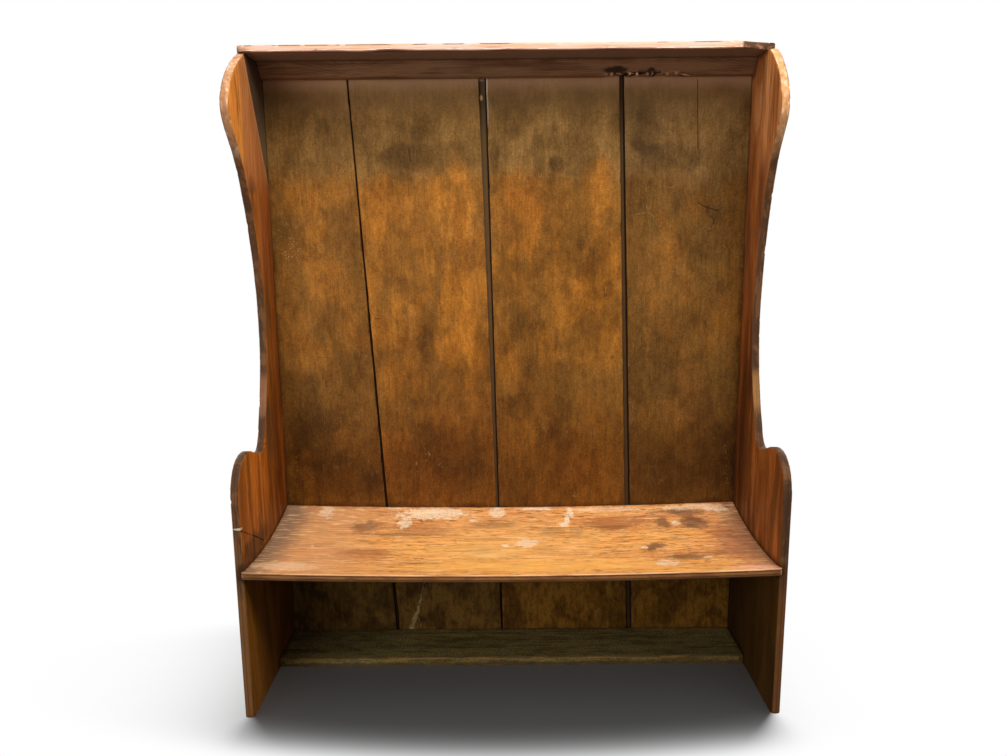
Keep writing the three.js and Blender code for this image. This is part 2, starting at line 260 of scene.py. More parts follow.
# How far the pith line wanders, in metres
PITH_SIDEWAYS = 0.06
PITH_IN_DEPTH = 0.22
slow = noise(tree, vector_maths(tree, "MULTIPLY", given["Grain"], SLOW_STRETCH), detail=1.0)
slow = maths(tree, "MULTIPLY", maths(tree, "SUBTRACT", slow, 0.5), given["Wander"])
sides = tree.nodes.new("ShaderNodeSeparateXYZ")
feed(tree, sides.inputs[0], given["Grain"])
sideways = maths(tree, "SUBTRACT", sides.outputs[0], given["Pith Shift"])
sideways = maths(tree, "MULTIPLY_ADD", slow, PITH_SIDEWAYS, sideways)
behind = maths(tree, "ADD", sides.outputs[1], given["Pith Depth"])
behind = maths(tree, "MULTIPLY_ADD", slow, PITH_IN_DEPTH, behind)
radius = maths(tree, "MULTIPLY_ADD", sideways, sideways, maths(tree, "POWER", behind, 2.0))
radius = maths(tree, "SQRT", radius)
radius = maths(tree, "ADD", radius, given["Bulge"])
ring = maths(tree, "FRACT", maths(tree, "DIVIDE", radius, given["Ring Width"]))
late = maths(tree, "MULTIPLY", ease(tree, ring, 0.35, 0.85), ease(tree, ring, 0.9, 1.0, 1.0, 0.0))
feed(tree, made["Rings"], late)
fibre = vector_maths(tree, "MULTIPLY", given["Grain"], FIBRE_STRETCH)
feed(tree, made["Fibre"], noise(tree, fibre, detail=2.0, roughness=0.6))
streak = vector_maths(tree, "MULTIPLY", given["Grain"], STREAK_STRETCH)
feed(tree, made["Streak"], noise(tree, streak, detail=4.0, roughness=0.65))

# %% [markdown]
# ### Blotches, marks and knots
# Old varnish breaks up into blotches whose edges fray along the grain. A single mark, such as a
# stain or a worn patch, is an oval placed at a given spot with a ragged edge. A knot is a mark too,
# but it also pushes the growth rings aside, so it puts out a bulge for the pine figure.

# %% Build the blotches
tree, given, made = start_group(
    "varnish_blotches",
    {"Grain": PLACE, "Stretch": (8.0, 8.0, 3.0), "Cover": 0.5, "Softness": 0.1, "Fray": 0.3, "Streak": 0.5},
    ("Mask",),
)
cloud = vector_maths(tree, "MULTIPLY", given["Grain"], given["Stretch"])
cloud = noise(tree, cloud, detail=4.0, roughness=0.55, distortion=0.5)
fray = maths(tree, "MULTIPLY", maths(tree, "SUBTRACT", given["Streak"], 0.5), given["Fray"])
cloud = maths(tree, "ADD", cloud, fray)
# Noise gathers around a half, so cover 0 to 1 is spread over that middle.
level = maths(tree, "MULTIPLY_ADD", given["Cover"], -0.5, 0.75)
low_side = maths(tree, "SUBTRACT", level, given["Softness"])
high_side = maths(tree, "ADD", level, given["Softness"])
feed(tree, made["Mask"], ease(tree, cloud, low_side, high_side))

# %% Build the placed mark
tree, given, made = start_group(
    "placed_mark",
    {
        "Place": PLACE,
        "Centre": PLACE,
        "Reach": (0.05, 0.05, 0.05),
        "Ragged": 0.5,
        "Softness": 0.3,
        "Noise Scale": 60.0,
    },
    ("Mask",),
)
offset = vector_maths(tree, "SUBTRACT", given["Place"], given["Centre"])
far = vector_maths(tree, "LENGTH", vector_maths(tree, "DIVIDE", offset, given["Reach"]))
rough_edge = noise(tree, given["Place"], scale=given["Noise Scale"], detail=4.0, roughness=0.6)
far = swayed(tree, far, rough_edge, given["Ragged"])
low_side = maths(tree, "SUBTRACT", 1.0, given["Softness"])
high_side = maths(tree, "ADD", 1.0, given["Softness"])
feed(tree, made["Mask"], ease(tree, far, low_side, high_side, 1.0, 0.0))

# %% Build the knot
tree, given, made = start_group(
    "knot",
    {"Grain": PLACE, "Centre": PLACE, "Radius": 0.015},
    ("Core", "Halo", "Bulge"),
)
# How much a distance counts across, through and along the grain: a knot runs right through the
# board, and is longer along it.
KNOT_SHAPE = (1.0, 0.0, 0.62)
# How far a knot pushes the rings aside, in its own radii, and how fast that fades
KNOT_PUSH = 2.4
KNOT_FADE = -0.16
offset = vector_maths(tree, "SUBTRACT", given["Grain"], given["Centre"])
offset = vector_maths(tree, "MULTIPLY", offset, KNOT_SHAPE)
far = maths(tree, "DIVIDE", vector_maths(tree, "LENGTH", offset), given["Radius"])
wobble = noise(tree, given["Grain"], scale=70.0, detail=2.0)
wobbly = swayed(tree, far, wobble, 0.7)
feed(tree, made["Core"], ease(tree, wobbly, 0.7, 1.05, 1.0, 0.0))
feed(tree, made["Halo"], ease(tree, wobbly, 0.9, 3.4, 1.0, 0.0))
hump = maths(tree, "EXPONENT", maths(tree, "MULTIPLY", maths(tree, "POWER", far, 2.0), KNOT_FADE))
push = maths(tree, "MULTIPLY", given["Radius"], KNOT_PUSH)
feed(tree, made["Bulge"], maths(tree, "MULTIPLY", hump, push))

# %% [markdown]
# ### Edge wear, corner dirt and shade, and specks
# Wear, dirt and painted shade follow the shape, so each board's mesh carries two numbers per
# point, measured when the board is made: "arris" is 1 on a sharp edge and fades over 20 mm, and
# "nook" is 1 where another board touches and fades over 40 mm. Near other boards the corner group
# darkens both as dirt and as painted shade. The groups break both up with noise.

# %% Build edge wear, corner dirt and shade, and specks
tree, given, made = start_group(
    "edge_wear",
    {"Place": PLACE, "Amount": 0.5, "Patchy": 0.5, "Noise Scale": 30.0},
    ("Mask",),
)
patch = noise(tree, given["Place"], scale=given["Noise Scale"], detail=4.0, roughness=0.65)
edge = swayed(tree, carried(tree, "arris"), patch, given["Patchy"])
start = maths(tree, "SUBTRACT", 1.0, given["Amount"])
feed(tree, made["Mask"], ease(tree, edge, start, maths(tree, "ADD", start, 0.25)))

tree, given, made = start_group(
    "corner_dirt_and_shade",
    {"Place": PLACE, "Amount": 0.5},
    ("Mask",),
)
# Corner darkening near other boards: dirt, and painted shade where the boards meet
patch = noise(tree, given["Place"], scale=22.0, detail=4.0, roughness=0.6)
dirt = swayed(tree, carried(tree, "nook"), patch, 0.9)
start = maths(tree, "SUBTRACT", 1.0, given["Amount"])
feed(tree, made["Mask"], ease(tree, dirt, start, maths(tree, "ADD", start, 0.5)))

tree, given, made = start_group(
    "specks",
    {"Place": PLACE, "Spacing": 0.012, "Size": 0.12, "Share": 0.3},
    ("Mask",),
)
cells = tree.nodes.new("ShaderNodeTexVoronoi")
feed(tree, cells.inputs["Vector"], given["Place"])
feed(tree, cells.inputs["Scale"], maths(tree, "DIVIDE", 1.0, given["Spacing"]))
chosen = tree.nodes.new("ShaderNodeSeparateColor")
feed(tree, chosen.inputs[0], cells.outputs["Color"])
lucky = maths(tree, "LESS_THAN", chosen.outputs[0], given["Share"])
core = maths(tree, "MULTIPLY", given["Size"], 0.6)
near = ease(tree, cells.outputs["Distance"], core, given["Size"], 1.0, 0.0)
feed(tree, made["Mask"], maths(tree, "MULTIPLY", lucky, near))
print("node groups:", [group.name for group in bpy.data.node_groups])

# %% [markdown]
# ## A finish laid in coats
# A real finish is laid coat over coat, and so is this one. Each coat goes on through a mask, which
# is 1 where the coat covers and 0 where it doesn't. Masks come from the groups above, from the
# numbers that a board's mesh carries, and from places along the axes of the frame. The grain has
# its own coordinates, turned so that the third one runs along the board.


# %% Masks
HAIR_STRETCH = (300.0, 120.0, 15.0)
WAVE_STRETCH = (9.0, 9.0, 6.0)
# Each finish has a seed, which moves its grain this far along, so that no two boards are cut alike.
SEED_SHIFT = 7.3


class Masks:
    """A material under way, and the masks that say where its coats go."""

    def __init__(self, name, along, across, through, seed, face=0.0, shine=0.3):
        self.material, self.tree, self.shader = new_material(name)
        self.shader.inputs["Specular IOR Level"].default_value = shine
        self.place = self.tree.nodes.new("ShaderNodeTexCoord").outputs["Object"]
        split = self.tree.nodes.new("ShaderNodeSeparateXYZ")
        feed(self.tree, split.inputs[0], self.place)
        self.axes = dict(zip("xyz", split.outputs))
        joined = self.tree.nodes.new("ShaderNodeCombineXYZ")
        for socket, axis, shift in zip(joined.inputs, (across, through, along), (0.0, 0.0, SEED_SHIFT)):
            feed(self.tree, socket, maths(self.tree, "ADD", self.axes[axis], seed * shift))
        self.grain = joined.outputs[0]
        self.order = (across, through, along)
        self.seed = seed
        self.face = face
        self.knots = []
        self.bulge = 0.0
        self.colour = None
        self.rough = 0.6
        self.height = 0.0

    def use(self, group, **values):
        """Places a node group, with values for its inputs."""
        node = self.tree.nodes.new("ShaderNodeGroup")
        node.node_tree = bpy.data.node_groups[group]
        for name, value in values.items():
            feed(self.tree, node.inputs[name.replace("_", " ").title()], value)
        return node.outputs

    def in_grain(self, place):
        """A place of the frame, in metres, as the grain's coordinates."""
        across, through, along = (place["xyz".index(axis)] for axis in self.order)
        return (across, through, along + self.seed * SEED_SHIFT)

    def measured(self, name):
        """A number that the board's mesh carries."""
        return carried(self.tree, name)

    def mark(self, centre, reach, ragged=0.6, softness=0.3, noise_scale=60.0):
        """A mask of one oval with a ragged edge, in metres of the frame."""
        values = dict(centre=centre, reach=reach, ragged=ragged, softness=softness, noise_scale=noise_scale)
        return self.use("placed_mark", place=self.place, **values)["Mask"]

    def blotches(self, stretch, cover=0.5, softness=0.1, fray=0.3):
        """A mask of blotches; stretch is how many there are in about a metre, across, through and along."""
        values = dict(stretch=stretch, cover=cover, softness=softness, fray=fray, streak=self.streak)
        return self.use("varnish_blotches", grain=self.grain, **values)["Mask"]

    def edge_wear(self, amount, patchy=0.6, noise_scale=30.0):
        values = dict(amount=amount, patchy=patchy, noise_scale=noise_scale)
        return self.use("edge_wear", place=self.place, **values)["Mask"]

    # Darkens near other boards, as dirt and as painted shade
    def corner_dirt_and_shade(self, amount):
        return self.use("corner_dirt_and_shade", place=self.place, amount=amount)["Mask"]

    def specks(self, spacing, size, share):
        return self.use("specks", place=self.place, spacing=spacing, size=size, share=share)["Mask"]

    def cloud(self, stretch, **values):
        """Noise in the grain's coordinates, finer where the stretch is larger."""
        return noise(self.tree, vector_maths(self.tree, "MULTIPLY", self.grain, stretch), **values)

    def scratches(self, stretch, width):
        """Thin lines that wander along the grain."""
        off = maths(self.tree, "SUBTRACT", self.cloud(stretch, detail=1.5), 0.5)
        return ease(self.tree, maths(self.tree, "ABSOLUTE", off), width, 0.0)

    def past(self, axis, low, high, wavy=0.0):
        """A mask that grows from 0 to 1 along an axis. wavy, in metres, makes its edge wander."""
        value = self.axes[axis]
        if wavy:
            value = swayed(self.tree, value, self.cloud(WAVE_STRETCH), wavy * 2)
        return ease(self.tree, value, low, high)

    def between(self, axis, low, high, soft, wavy=0.0):
        """A mask that is 1 between two places along an axis."""
        above = self.past(axis, low - soft, low + soft, wavy)
        return self.both(above, self.past(axis, high + soft, high - soft, wavy))

    def oblique(self, first, second, low, high):
        """A mask along a slanting line. first and second are (axis, share) pairs."""
        value = maths(self.tree, "MULTIPLY", self.axes[first[0]], first[1])
        value = maths(self.tree, "MULTIPLY_ADD", self.axes[second[0]], second[1], value)
        return ease(self.tree, value, low, high)

    def both(self, first, second):
        """A mask where both of two masks are."""
        return maths(self.tree, "MULTIPLY", first, second)


# %% [markdown]
# ### Coats
# `lay` covers, like paint, and `stain` darkens but lets the figure show, like varnish or dirt. `cut`
# adds to the height that becomes the bump. Bare pine with its figure goes on first, and `close`
# joins it all to the shader. A long chain of mixes is plain to read.


# %% Coats
# Soft wood wears away first, so late rings and knots stand proud.
FIBRE_DEPTH = 0.12 * MM
RING_RISE = 0.1 * MM
KNOT_RISE = 0.2 * MM


class Coats(Masks):
    """Adds colour, roughness and height, one coat over the last."""

    def lay(self, mask, colour, strength=1.0, rough=None, kind="MIX"):
        """Covers what is there with a colour, and may change how rough it is."""
        share = mask if strength == 1 else maths(self.tree, "MULTIPLY", mask, strength)
        self.colour = blend(self.tree, share, self.colour, colour, kind)
        if rough is None:
            return
        node = self.tree.nodes.new("ShaderNodeMix")
        feed(self.tree, node.inputs["Factor"], share)
        feed(self.tree, node.inputs[2], self.rough)
        feed(self.tree, node.inputs[3], rough)
        self.rough = node.outputs[0]

    def stain(self, *coat, **values):
        """Darkens what is there with a clear colour, so that the figure shows through."""
        self.lay(*coat, kind="MULTIPLY", **values)

    def cut(self, mask, depth):
        """Sinks the surface under a mask by a depth in metres; a negative depth raises it."""
        self.height = maths(self.tree, "MULTIPLY_ADD", mask, -depth, self.height)

    def knot(self, place, radius):
        """Places a knot. Knots come before the figure, which flows round them."""
        outputs = self.use("knot", grain=self.grain, centre=self.in_grain(place), radius=radius)
        self.bulge = maths(self.tree, "ADD", self.bulge, outputs["Bulge"])
        self.knots.append(outputs)

    def figure(self, early, late, pith_depth=0.06, contrast=0.6, **values):
        """Lays bare pine: early and late are the colours of a ring's pale and dark wood."""
        values = {"ring_width": 0.005, "pith_shift": 0.0, "wander": 1.0, **values}
        depth = pith_depth - self.face
        outputs = self.use("pine_figure", grain=self.grain, pith_depth=depth, bulge=self.bulge, **values)
        self.rings = outputs["Rings"]
        self.fibre = outputs["Fibre"]
        self.streak = outputs["Streak"]
        self.colour = blend(self.tree, maths(self.tree, "MULTIPLY", self.rings, contrast), early, late)
        self.cut(self.fibre, FIBRE_DEPTH)
        self.cut(self.rings, -RING_RISE)
        for knot in self.knots:
            self.stain(knot["Halo"], (0.66, 0.52, 0.42, 1.0), 0.6)
            self.lay(knot["Core"], paint(62, 36, 20), 0.85, rough=0.4)
            self.cut(knot["Core"], -KNOT_RISE)

    def close(self):
        """Joins the colour, the roughness and the height to the shader."""
        feed(self.tree, self.shader.inputs["Base Color"], self.colour)
        feed(self.tree, self.shader.inputs["Roughness"], self.rough)
        bump = self.tree.nodes.new("ShaderNodeBump")
        bump.inputs["Strength"].default_value = 1.0
        bump.inputs["Distance"].default_value = 1.0
        feed(self.tree, bump.inputs["Height"], self.height)
        feed(self.tree, self.shader.inputs["Normal"], bump.outputs["Normal"])
        print(self.material.name, "has", len(self.tree.nodes), "nodes")
        return self.material


# %% [markdown]
# ### Coats that every board has
# Grain lines, hair-fine grain, cracks and tears, rust round the nails, and the bare wood of a side
# that was never finished come again and again, so each is one call.


# %% The finish class
class Finish(Coats):
    """A whole pine finish."""

    def grain_lines(self, strength=1.0):
        """Lays fine dark and light fibres over the coats below."""
        dark = ease(self.tree, self.streak, 0.5, 0.72)
        light = ease(self.tree, self.streak, 0.46, 0.3)
        self.stain(dark, (0.52, 0.46, 0.4, 1.0), 0.75 * strength)
        self.stain(light, (1.3, 1.28, 1.22, 1.0), 0.6 * strength)
        self.stain(ease(self.tree, self.fibre, 0.5, 0.78), (0.62, 0.56, 0.48, 1.0), 0.6 * strength)

    def hair(self, strength):
        """Lays grain as fine as hair, dark and light."""
        fine = self.cloud(HAIR_STRETCH, roughness=0.65)
        self.stain(ease(self.tree, fine, 0.5, 0.68), (0.66, 0.6, 0.52, 1), strength)
        self.stain(ease(self.tree, fine, 0.48, 0.32), (1.3, 1.26, 1.18, 1), strength)

    def breaks(self, fresh):
        """Cracks are painted dark. Torn places show fresh, paler wood."""
        self.lay(self.measured("torn"), fresh, 0.9, rough=0.8)
        self.lay(self.measured("crack"), paint(24, 16, 10), 0.92, rough=0.9)

    def nail_rust(self):
        """Iron turns pine blue-black round each nail."""
        ragged = noise(self.tree, self.grain, scale=90.0, detail=3.0)
        near = maths(self.tree, "MULTIPLY_ADD", ragged, 0.5, self.measured("nail"))
        self.stain(ease(self.tree, near, 0.75, 1.2), (0.3, 0.27, 0.27, 1.0), 0.8)

    def bare_side(self, mask, colour, pale):
        """Dull, unpolished pine under a mask, with its own grain, blotches and knots."""
        self.lay(mask, colour, 0.96, rough=0.85)
        patches = self.blotches((5, 5, 1.6), cover=0.45, softness=0.15)
        lines = ease(self.tree, self.streak, 0.5, 0.68)
        self.stain(self.both(mask, self.rings), (0.7, 0.6, 0.5, 1), 0.45)
        self.stain(self.both(mask, patches), (0.62, 0.56, 0.5, 1), 0.7)
        self.stain(self.both(mask, lines), (0.56, 0.5, 0.42, 1), 0.7)
        self.lay(self.both(mask, self.blotches((24, 20, 2.6), cover=0.4, fray=0.5)), pale, 0.5)
        for knot in self.knots:
            self.lay(self.both(mask, knot["Core"]), paint(62, 38, 22), 0.8)


# %% [markdown]
# ## Boards as fine, worn meshes
# A CAD board has few, long faces and razor edges. To wear it, its mesh has to be even and fine. A
# voxel remesh would do that but rounds every edge by the same amount. A sharp remesh keeps the
# edges where they are, and a small bevel then breaks them. First the nail holes are filled with
# plugs, because they are narrower than the grid; the nails' heads cover those places later. Plugs
# are plain boxes, so beside a housing or a lap some reach into the next board, out of sight.


# %% Helpers that build meshes
def join_rows(build, rows):
    """Makes faces between rows of points. Each row goes round and closes on itself."""
    count = len(rows[0])
    for first, second in itertools.pairwise(rows):
        for i in range(count):
            j = (i + 1) % count
            build.faces.new((first[i], first[j], second[j], second[i]))


def built_mesh(build, name):
    """A mesh of what was built, its faces turned outwards."""
    bmesh.ops.recalc_face_normals(build, faces=build.faces)
    mesh = bpy.data.meshes.new(name)
    build.to_mesh(mesh)
    build.free()
    return mesh


# %% Helpers that remake a board
def joined_boxes(name, corners):
    """One mesh object of plain boxes, used only to fill holes."""
    mesh = bpy.data.meshes.new(name)
    build = bmesh.new()
    for low, high in corners:
        middle = (low + high) / 2
        size = Matrix.Diagonal((*(high - low), 1.0))
        bmesh.ops.create_cube(build, size=1.0, matrix=Matrix.Translation(middle) @ size)
    build.to_mesh(mesh)
    build.free()
    return add_object(name, mesh)


PLUG_MARGIN = 1.2 * MM
PLUG_SHY = 0.02 * MM


def nail_plugs(node_name):
    """Boxes that fill the board's nail holes, just short of its faces."""
    low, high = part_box(node_name)
    shy = Vector((PLUG_SHY,) * 3)
    wide = Vector((PLUG_MARGIN,) * 3)
    corners = []
    for nail in NAIL_NAMES:
        nail_low, nail_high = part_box(nail)
        first = Vector(map(max, nail_low - wide, low + shy))
        last = Vector(map(min, nail_high + wide, high - shy))
        if all(last[i] - first[i] > PLUG_MARGIN for i in range(3)):
            corners.append((first, last))
    return corners


def remade_mesh(node_name, cell, bevel):
    """An even, closed mesh of a CAD board, its faces about `cell` metres across."""
    shape = add_object("shape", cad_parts[node_name].data.copy())
    shape.modifiers.new("weld", "WELD").merge_threshold = 1e-5
    plugs = joined_boxes("plugs", nail_plugs(node_name))
    fill = shape.modifiers.new("fill", "BOOLEAN")
    fill.operation = "UNION"
    fill.solver = "EXACT"
    fill.object = plugs
    low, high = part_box(node_name)
    longest = max(high - low)
    even = shape.modifiers.new("even", "REMESH")
    even.mode = "SHARP"
    even.octree_depth = math.ceil(math.log2(longest / cell / 0.99))
    even.scale = longest / cell / 2**even.octree_depth
    even.use_remove_disconnected = False
    broken = shape.modifiers.new("broken arris", "BEVEL")
    broken.limit_method = "ANGLE"
    broken.angle_limit = math.radians(32)
    broken.width = bevel
    broken.segments = 2
    shown = shape.evaluated_get(bpy.context.evaluated_depsgraph_get())
    mesh = bpy.data.meshes.new_from_object(shown)
    bpy.data.objects.remove(shape)
    bpy.data.objects.remove(plugs)
    return mesh


# %% [markdown]
# ### Reading a mesh as arrays
# Wear is worked out for all points of a board at once, so points and normals are read into arrays.
# Lattice noise gives smooth bumps of any size: random values sit on a grid, and each point blends
# the eight around it. The same seed always gives the same bumps.


# %% Noise for arrays of points
LATTICE_VALUES = 4096
LATTICE_PRIMES = (73856093, 19349663, 83492791)


def bumps(points, size, seed):
    """Smooth noise from -1 to 1. size is how far apart its bumps are in metres, per axis or for all."""
    cell = points / np.asarray(size)
    corner = np.floor(cell).astype(np.int64)
    share = cell - corner
    share = share * share * (3 - 2 * share)
    values = np.random.default_rng(seed).uniform(-1, 1, LATTICE_VALUES)
    total = np.zeros(len(points))
    for step in itertools.product((0, 1), repeat=3):
        key = np.bitwise_xor.reduce((corner + step) * LATTICE_PRIMES, axis=1)
        total += values[key % LATTICE_VALUES] * np.prod(np.where(step, share, 1 - share), axis=1)
    return total


def fade(value, low, high):
    """0 below low, 1 above high, smooth between."""
    share = np.clip((value - low) / (high - low), 0, 1)
    return share * share * (3 - 2 * share)


# %% [markdown]
# ### What a board knows of itself
# A board knows its points, its normals, how far each point is from a sharp edge, and how far from
# the next board. Every kind of wear only adds to `sink`, the depth by which a point moves inwards,
# so wear never makes a board larger.


# %% The shape of a board
ARRIS_REACH = 20 * MM
NOOK_REACH = 40 * MM
JOINT_REACH = 6 * MM
WORN_REACH = 3.5 * MM
NICK_REACH = 5 * MM
FLAT_WITHIN = math.cos(math.radians(14))
cad_trees = {}
for name in BOARD_NAMES:
    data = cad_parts[name].data
    data.calc_loop_triangles()
    corners = [vertex.co for vertex in data.vertices]
    cad_trees[name] = BVHTree.FromPolygons(corners, [triangle.vertices for triangle in data.loop_triangles])


class BoardShape:
    """A board's mesh as arrays, and how far each point is from what wears it."""

    def __init__(self, piece, node_name, mesh):
        self.piece = piece
        self.node = node_name
        self.mesh = mesh
        mesh.name = piece
        count = len(mesh.vertices)
        self.points = np.empty(count * 3)
        mesh.vertices.foreach_get("co", self.points)
        self.points = self.points.reshape(-1, 3)
        self.normals = np.empty(count * 3)
        mesh.vertex_normals.foreach_get("vector", self.normals)
        self.normals = self.normals.reshape(-1, 3)
        self.low = self.points.min(axis=0)
        self.high = self.points.max(axis=0)
        self.arris = self.distance_to_arris()
        self.nook = self.distance_to_neighbours(False, NOOK_REACH)
        self.joint = self.distance_to_neighbours(True, JOINT_REACH)
        self.sink = np.zeros(count)
        self.shift = np.zeros((count, 3))
        self.crack = np.zeros(count)
        self.torn = np.zeros(count)

    def distance_to_arris(self):
        """Distance from each point to the nearest one whose faces meet at an angle."""
        mesh = self.mesh
        facing = np.empty(len(mesh.polygons) * 3)
        mesh.polygon_normals.foreach_get("vector", facing)
        corner_vertex = np.empty(len(mesh.loops), int)
        mesh.loops.foreach_get("vertex_index", corner_vertex)
        sizes = np.empty(len(mesh.polygons), int)
        mesh.polygons.foreach_get("loop_total", sizes)
        corner_face = np.repeat(np.arange(len(sizes)), sizes)
        agree = np.einsum("ij,ij->i", self.normals[corner_vertex], facing.reshape(-1, 3)[corner_face])
        least = np.ones(len(self.points))
        np.minimum.at(least, corner_vertex, agree)
        sharp = np.flatnonzero(least < FLAT_WITHIN)
        tree = KDTree(len(sharp))
        for i in sharp:
            tree.insert(self.points[i], int(i))
        tree.balance()
        return np.array([tree.find(point)[2] for point in self.points])

    def distance_to_neighbours(self, planks_apart, reach):
        """Distance from each point to the nearest other board, or, with planks_apart, to the next plank."""
        gap = np.full(len(self.points), reach)
        for name, tree in cad_trees.items():
            side_by_side = name[:6] == self.node[:6] == "back_p"
            if name == self.node or side_by_side != planks_apart:
                continue
            low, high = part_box(name)
            close = (self.points > np.array(low) - reach) & (self.points < np.array(high) + reach)
            for i in np.flatnonzero(np.all(close, axis=1)):
                found = tree.find_nearest(self.points[i], gap[i])
                if found[3] is not None:
                    gap[i] = found[3]
        return gap

    def rim(self):
        """1 on the board's narrow faces, 0 on its two broad ones."""
        thin = int(np.argmin(self.high - self.low))
        return fade(1 - np.abs(self.normals[:, thin]), 0.15, 0.6)


# %% [markdown]
# ### Wearing a board
# Edges round off and get knocked, faces warp, and cracks open. Sculpting could do it, but sums over
# all points are repeatable and can be tuned by one number. `finish` moves the points, keeps what
# the material has to know, and puts the piece in its CAD board's place.


# %% The board class
class Board(BoardShape):
    """A wooden board under way: its mesh, and how deep each point is to sink."""

    def wear_arrises(self, depth, patch, seed):
        """Rounds the edges, more in some places than in others."""
        share = 0.35 + 0.65 * fade(bumps(self.points, patch, seed), -0.6, 0.8)
        self.sink += depth * share * np.exp(-((self.arris / WORN_REACH) ** 2))

    def nick_arrises(self, depth, spacing, share, seed):
        """Knocks small bites out of the edges."""
        bite = fade(bumps(self.points, spacing, seed), 1 - share, 1.05 - share / 2)
        self.sink += depth * bite * np.exp(-((self.arris / NICK_REACH) ** 2))

    def warp(self, depth, size, seed):
        """Gives the faces the slow unevenness of hand planing and shrinkage."""
        away = fade(self.arris, 0, 12 * MM)
        self.sink += depth * away * (0.5 + 0.5 * bumps(self.points, size, seed))

    def dent(self, centre, reach, depth, seed=0, ragged=0.5):
        """Presses one ragged oval hollow into the board."""
        offset = (self.points - np.array(centre)) / np.array(reach)
        far = np.linalg.norm(offset, axis=1)
        far += ragged * bumps(self.points, min(reach) * 0.9, seed + 11)
        self.sink += depth * (1 - fade(far, 0.35, 1.15))

    def groove(self, line, width, depth, seed):
        """Opens a crack along a line of places."""
        gap = gap_to_line(self.points, line)
        wide = width * (1 + 0.5 * bumps(self.points, 12 * MM, seed))
        within = 1 - fade(gap / wide, 0.25, 1.0)
        self.sink += depth * within
        self.crack = np.maximum(self.crack, within)

    def tear(self, line, width, depth, seed, fresh=1.0):
        """Pulls a long splinter out along a line. fresh is how pale the torn wood still is."""
        gap = gap_to_line(self.points, line)
        wide = width * (1 + 0.6 * bumps(self.points, 9 * MM, seed))
        within = 1 - fade(gap / wide, 0.5, 1.0)
        if fresh < 1:
            within *= fade(bumps(self.points, 9 * MM, seed + 2), -0.5, 0.4)
        self.sink += depth * within * (0.6 + 0.4 * bumps(self.points, 5 * MM, seed + 1))
        self.torn = np.maximum(self.torn, within * fresh)

    def write(self, name, values):
        """Keeps one number per point in the mesh, for the finish to read."""
        layer = self.mesh.attributes.new(name, "FLOAT", "POINT")
        layer.data.foreach_set("value", values.astype(np.float32))

    def finish(self, material, slot):
        """Moves the points, writes what the finish reads, and puts the piece in its CAD board's place."""
        # Close to a neighbour only a quarter of the wear is left, so that joints stay tight.
        clear = fade(np.minimum(self.nook, self.joint), 0.5 * MM, 4 * MM)
        self.points += self.shift - self.normals * (self.sink * (0.25 + 0.75 * clear))[:, None]
        self.points = np.clip(self.points, self.low, self.high)
        self.mesh.vertices.foreach_set("co", self.points.ravel())
        self.write("arris", 1 - np.clip(self.arris / ARRIS_REACH, 0, 1))
        self.write("nook", 1 - np.clip(self.nook / NOOK_REACH, 0, 1))
        self.write("joint", 1 - np.clip(self.joint / JOINT_REACH, 0, 1))
        self.write("nail", nail_nearness(self.points))
        self.write("crack", self.crack)
        self.write("torn", self.torn)
        self.write("rim", self.rim())
        self.mesh.shade_smooth()
        self.mesh.materials.clear()
        self.mesh.materials.append(material)
        shown = add_object(self.piece, self.mesh)
        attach(shown, "root")
        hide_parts(self.node)
        deepest = round(float(self.sink.max()) / MM, 1)
        print(self.piece, "faces:", len(self.mesh.polygons), "deepest wear in mm:", deepest)
        return shown


# %% [markdown]
# ### Where the nails are
# A hammer leaves a shallow dent round each head, and iron turns pine blue-black. Both need the
# middle of each head, which is the nail's outer end: the back of a plank, the outside of an end,
# or the top of the hood.

# %% Find the nail heads
NAIL_STAIN_REACH = 22 * MM


def nail_way(name):
    """The direction out of the wood at a nail's head."""
    if name.startswith("nail_plank"):
        return Vector((0, 1, 0))
    if name.startswith("nail_hood"):
        return Vector((0, 0, 1))
    return Vector((-1, 0, 0)) if "left_end" in name else Vector((1, 0, 0))


def nail_head(name):
    """The middle of a nail's head."""
    low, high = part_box(name)
    way = nail_way(name)
    half = (high - low) / 2
    return (low + high) / 2 + Vector(way[i] * half[i] for i in range(3))


nail_heads = {name: nail_head(name) for name in NAIL_NAMES}
heads_tree = KDTree(len(nail_heads))
for i, head in enumerate(nail_heads.values()):
    heads_tree.insert(head, i)
heads_tree.balance()


def nail_nearness(points):
    """1 at a nail head, fading to 0 over NAIL_STAIN_REACH."""
    far = np.array([heads_tree.find(point)[2] for point in points])
    return 1 - np.clip(far / NAIL_STAIN_REACH, 0, 1)


print("nail heads:", len(nail_heads))

# %% [markdown]
# ### Fine places on a coarse mesh
# A crack or a dented nail head is narrower than the grid of the remesh. A finer grid everywhere
# would be heavy, so only the faces close to such a place are divided.


# %% Helpers for fine places
HEAD_DENT = 10 * MM
HEAD_FINE = 11 * MM
CRACK_FINE = 5 * MM


def gap_to_line(points, line):
    """Distance from each point to a line through several places, or to one place."""
    line = np.asarray(line, float).reshape(-1, 3)
    ends = line[1:] if len(line) > 1 else line
    gap = np.full(len(points), np.inf)
    for start, stop in zip(line, ends):
        along = stop - start
        share = np.clip((points - start) @ along / max(along @ along, 1e-12), 0, 1)
        gap = np.minimum(gap, np.linalg.norm(points - start - share[:, None] * along, axis=1))
    return gap


def divide_near(mesh, lines, reach, cuts=2):
    """Divides the faces that lie within reach of the lines."""
    centres = np.empty(len(mesh.polygons) * 3)
    mesh.polygons.foreach_get("center", centres)
    centres = centres.reshape(-1, 3)
    near = np.zeros(len(centres), bool)
    for line in lines:
        near |= gap_to_line(centres, line) < reach
    build = bmesh.new()
    build.from_mesh(mesh)
    build.faces.ensure_lookup_table()
    edges = {edge for i in np.flatnonzero(near) for edge in build.faces[i].edges}
    bmesh.ops.subdivide_edges(build, edges=list(edges), cuts=cuts, use_grid_fill=True)
    build.to_mesh(mesh)
    build.free()


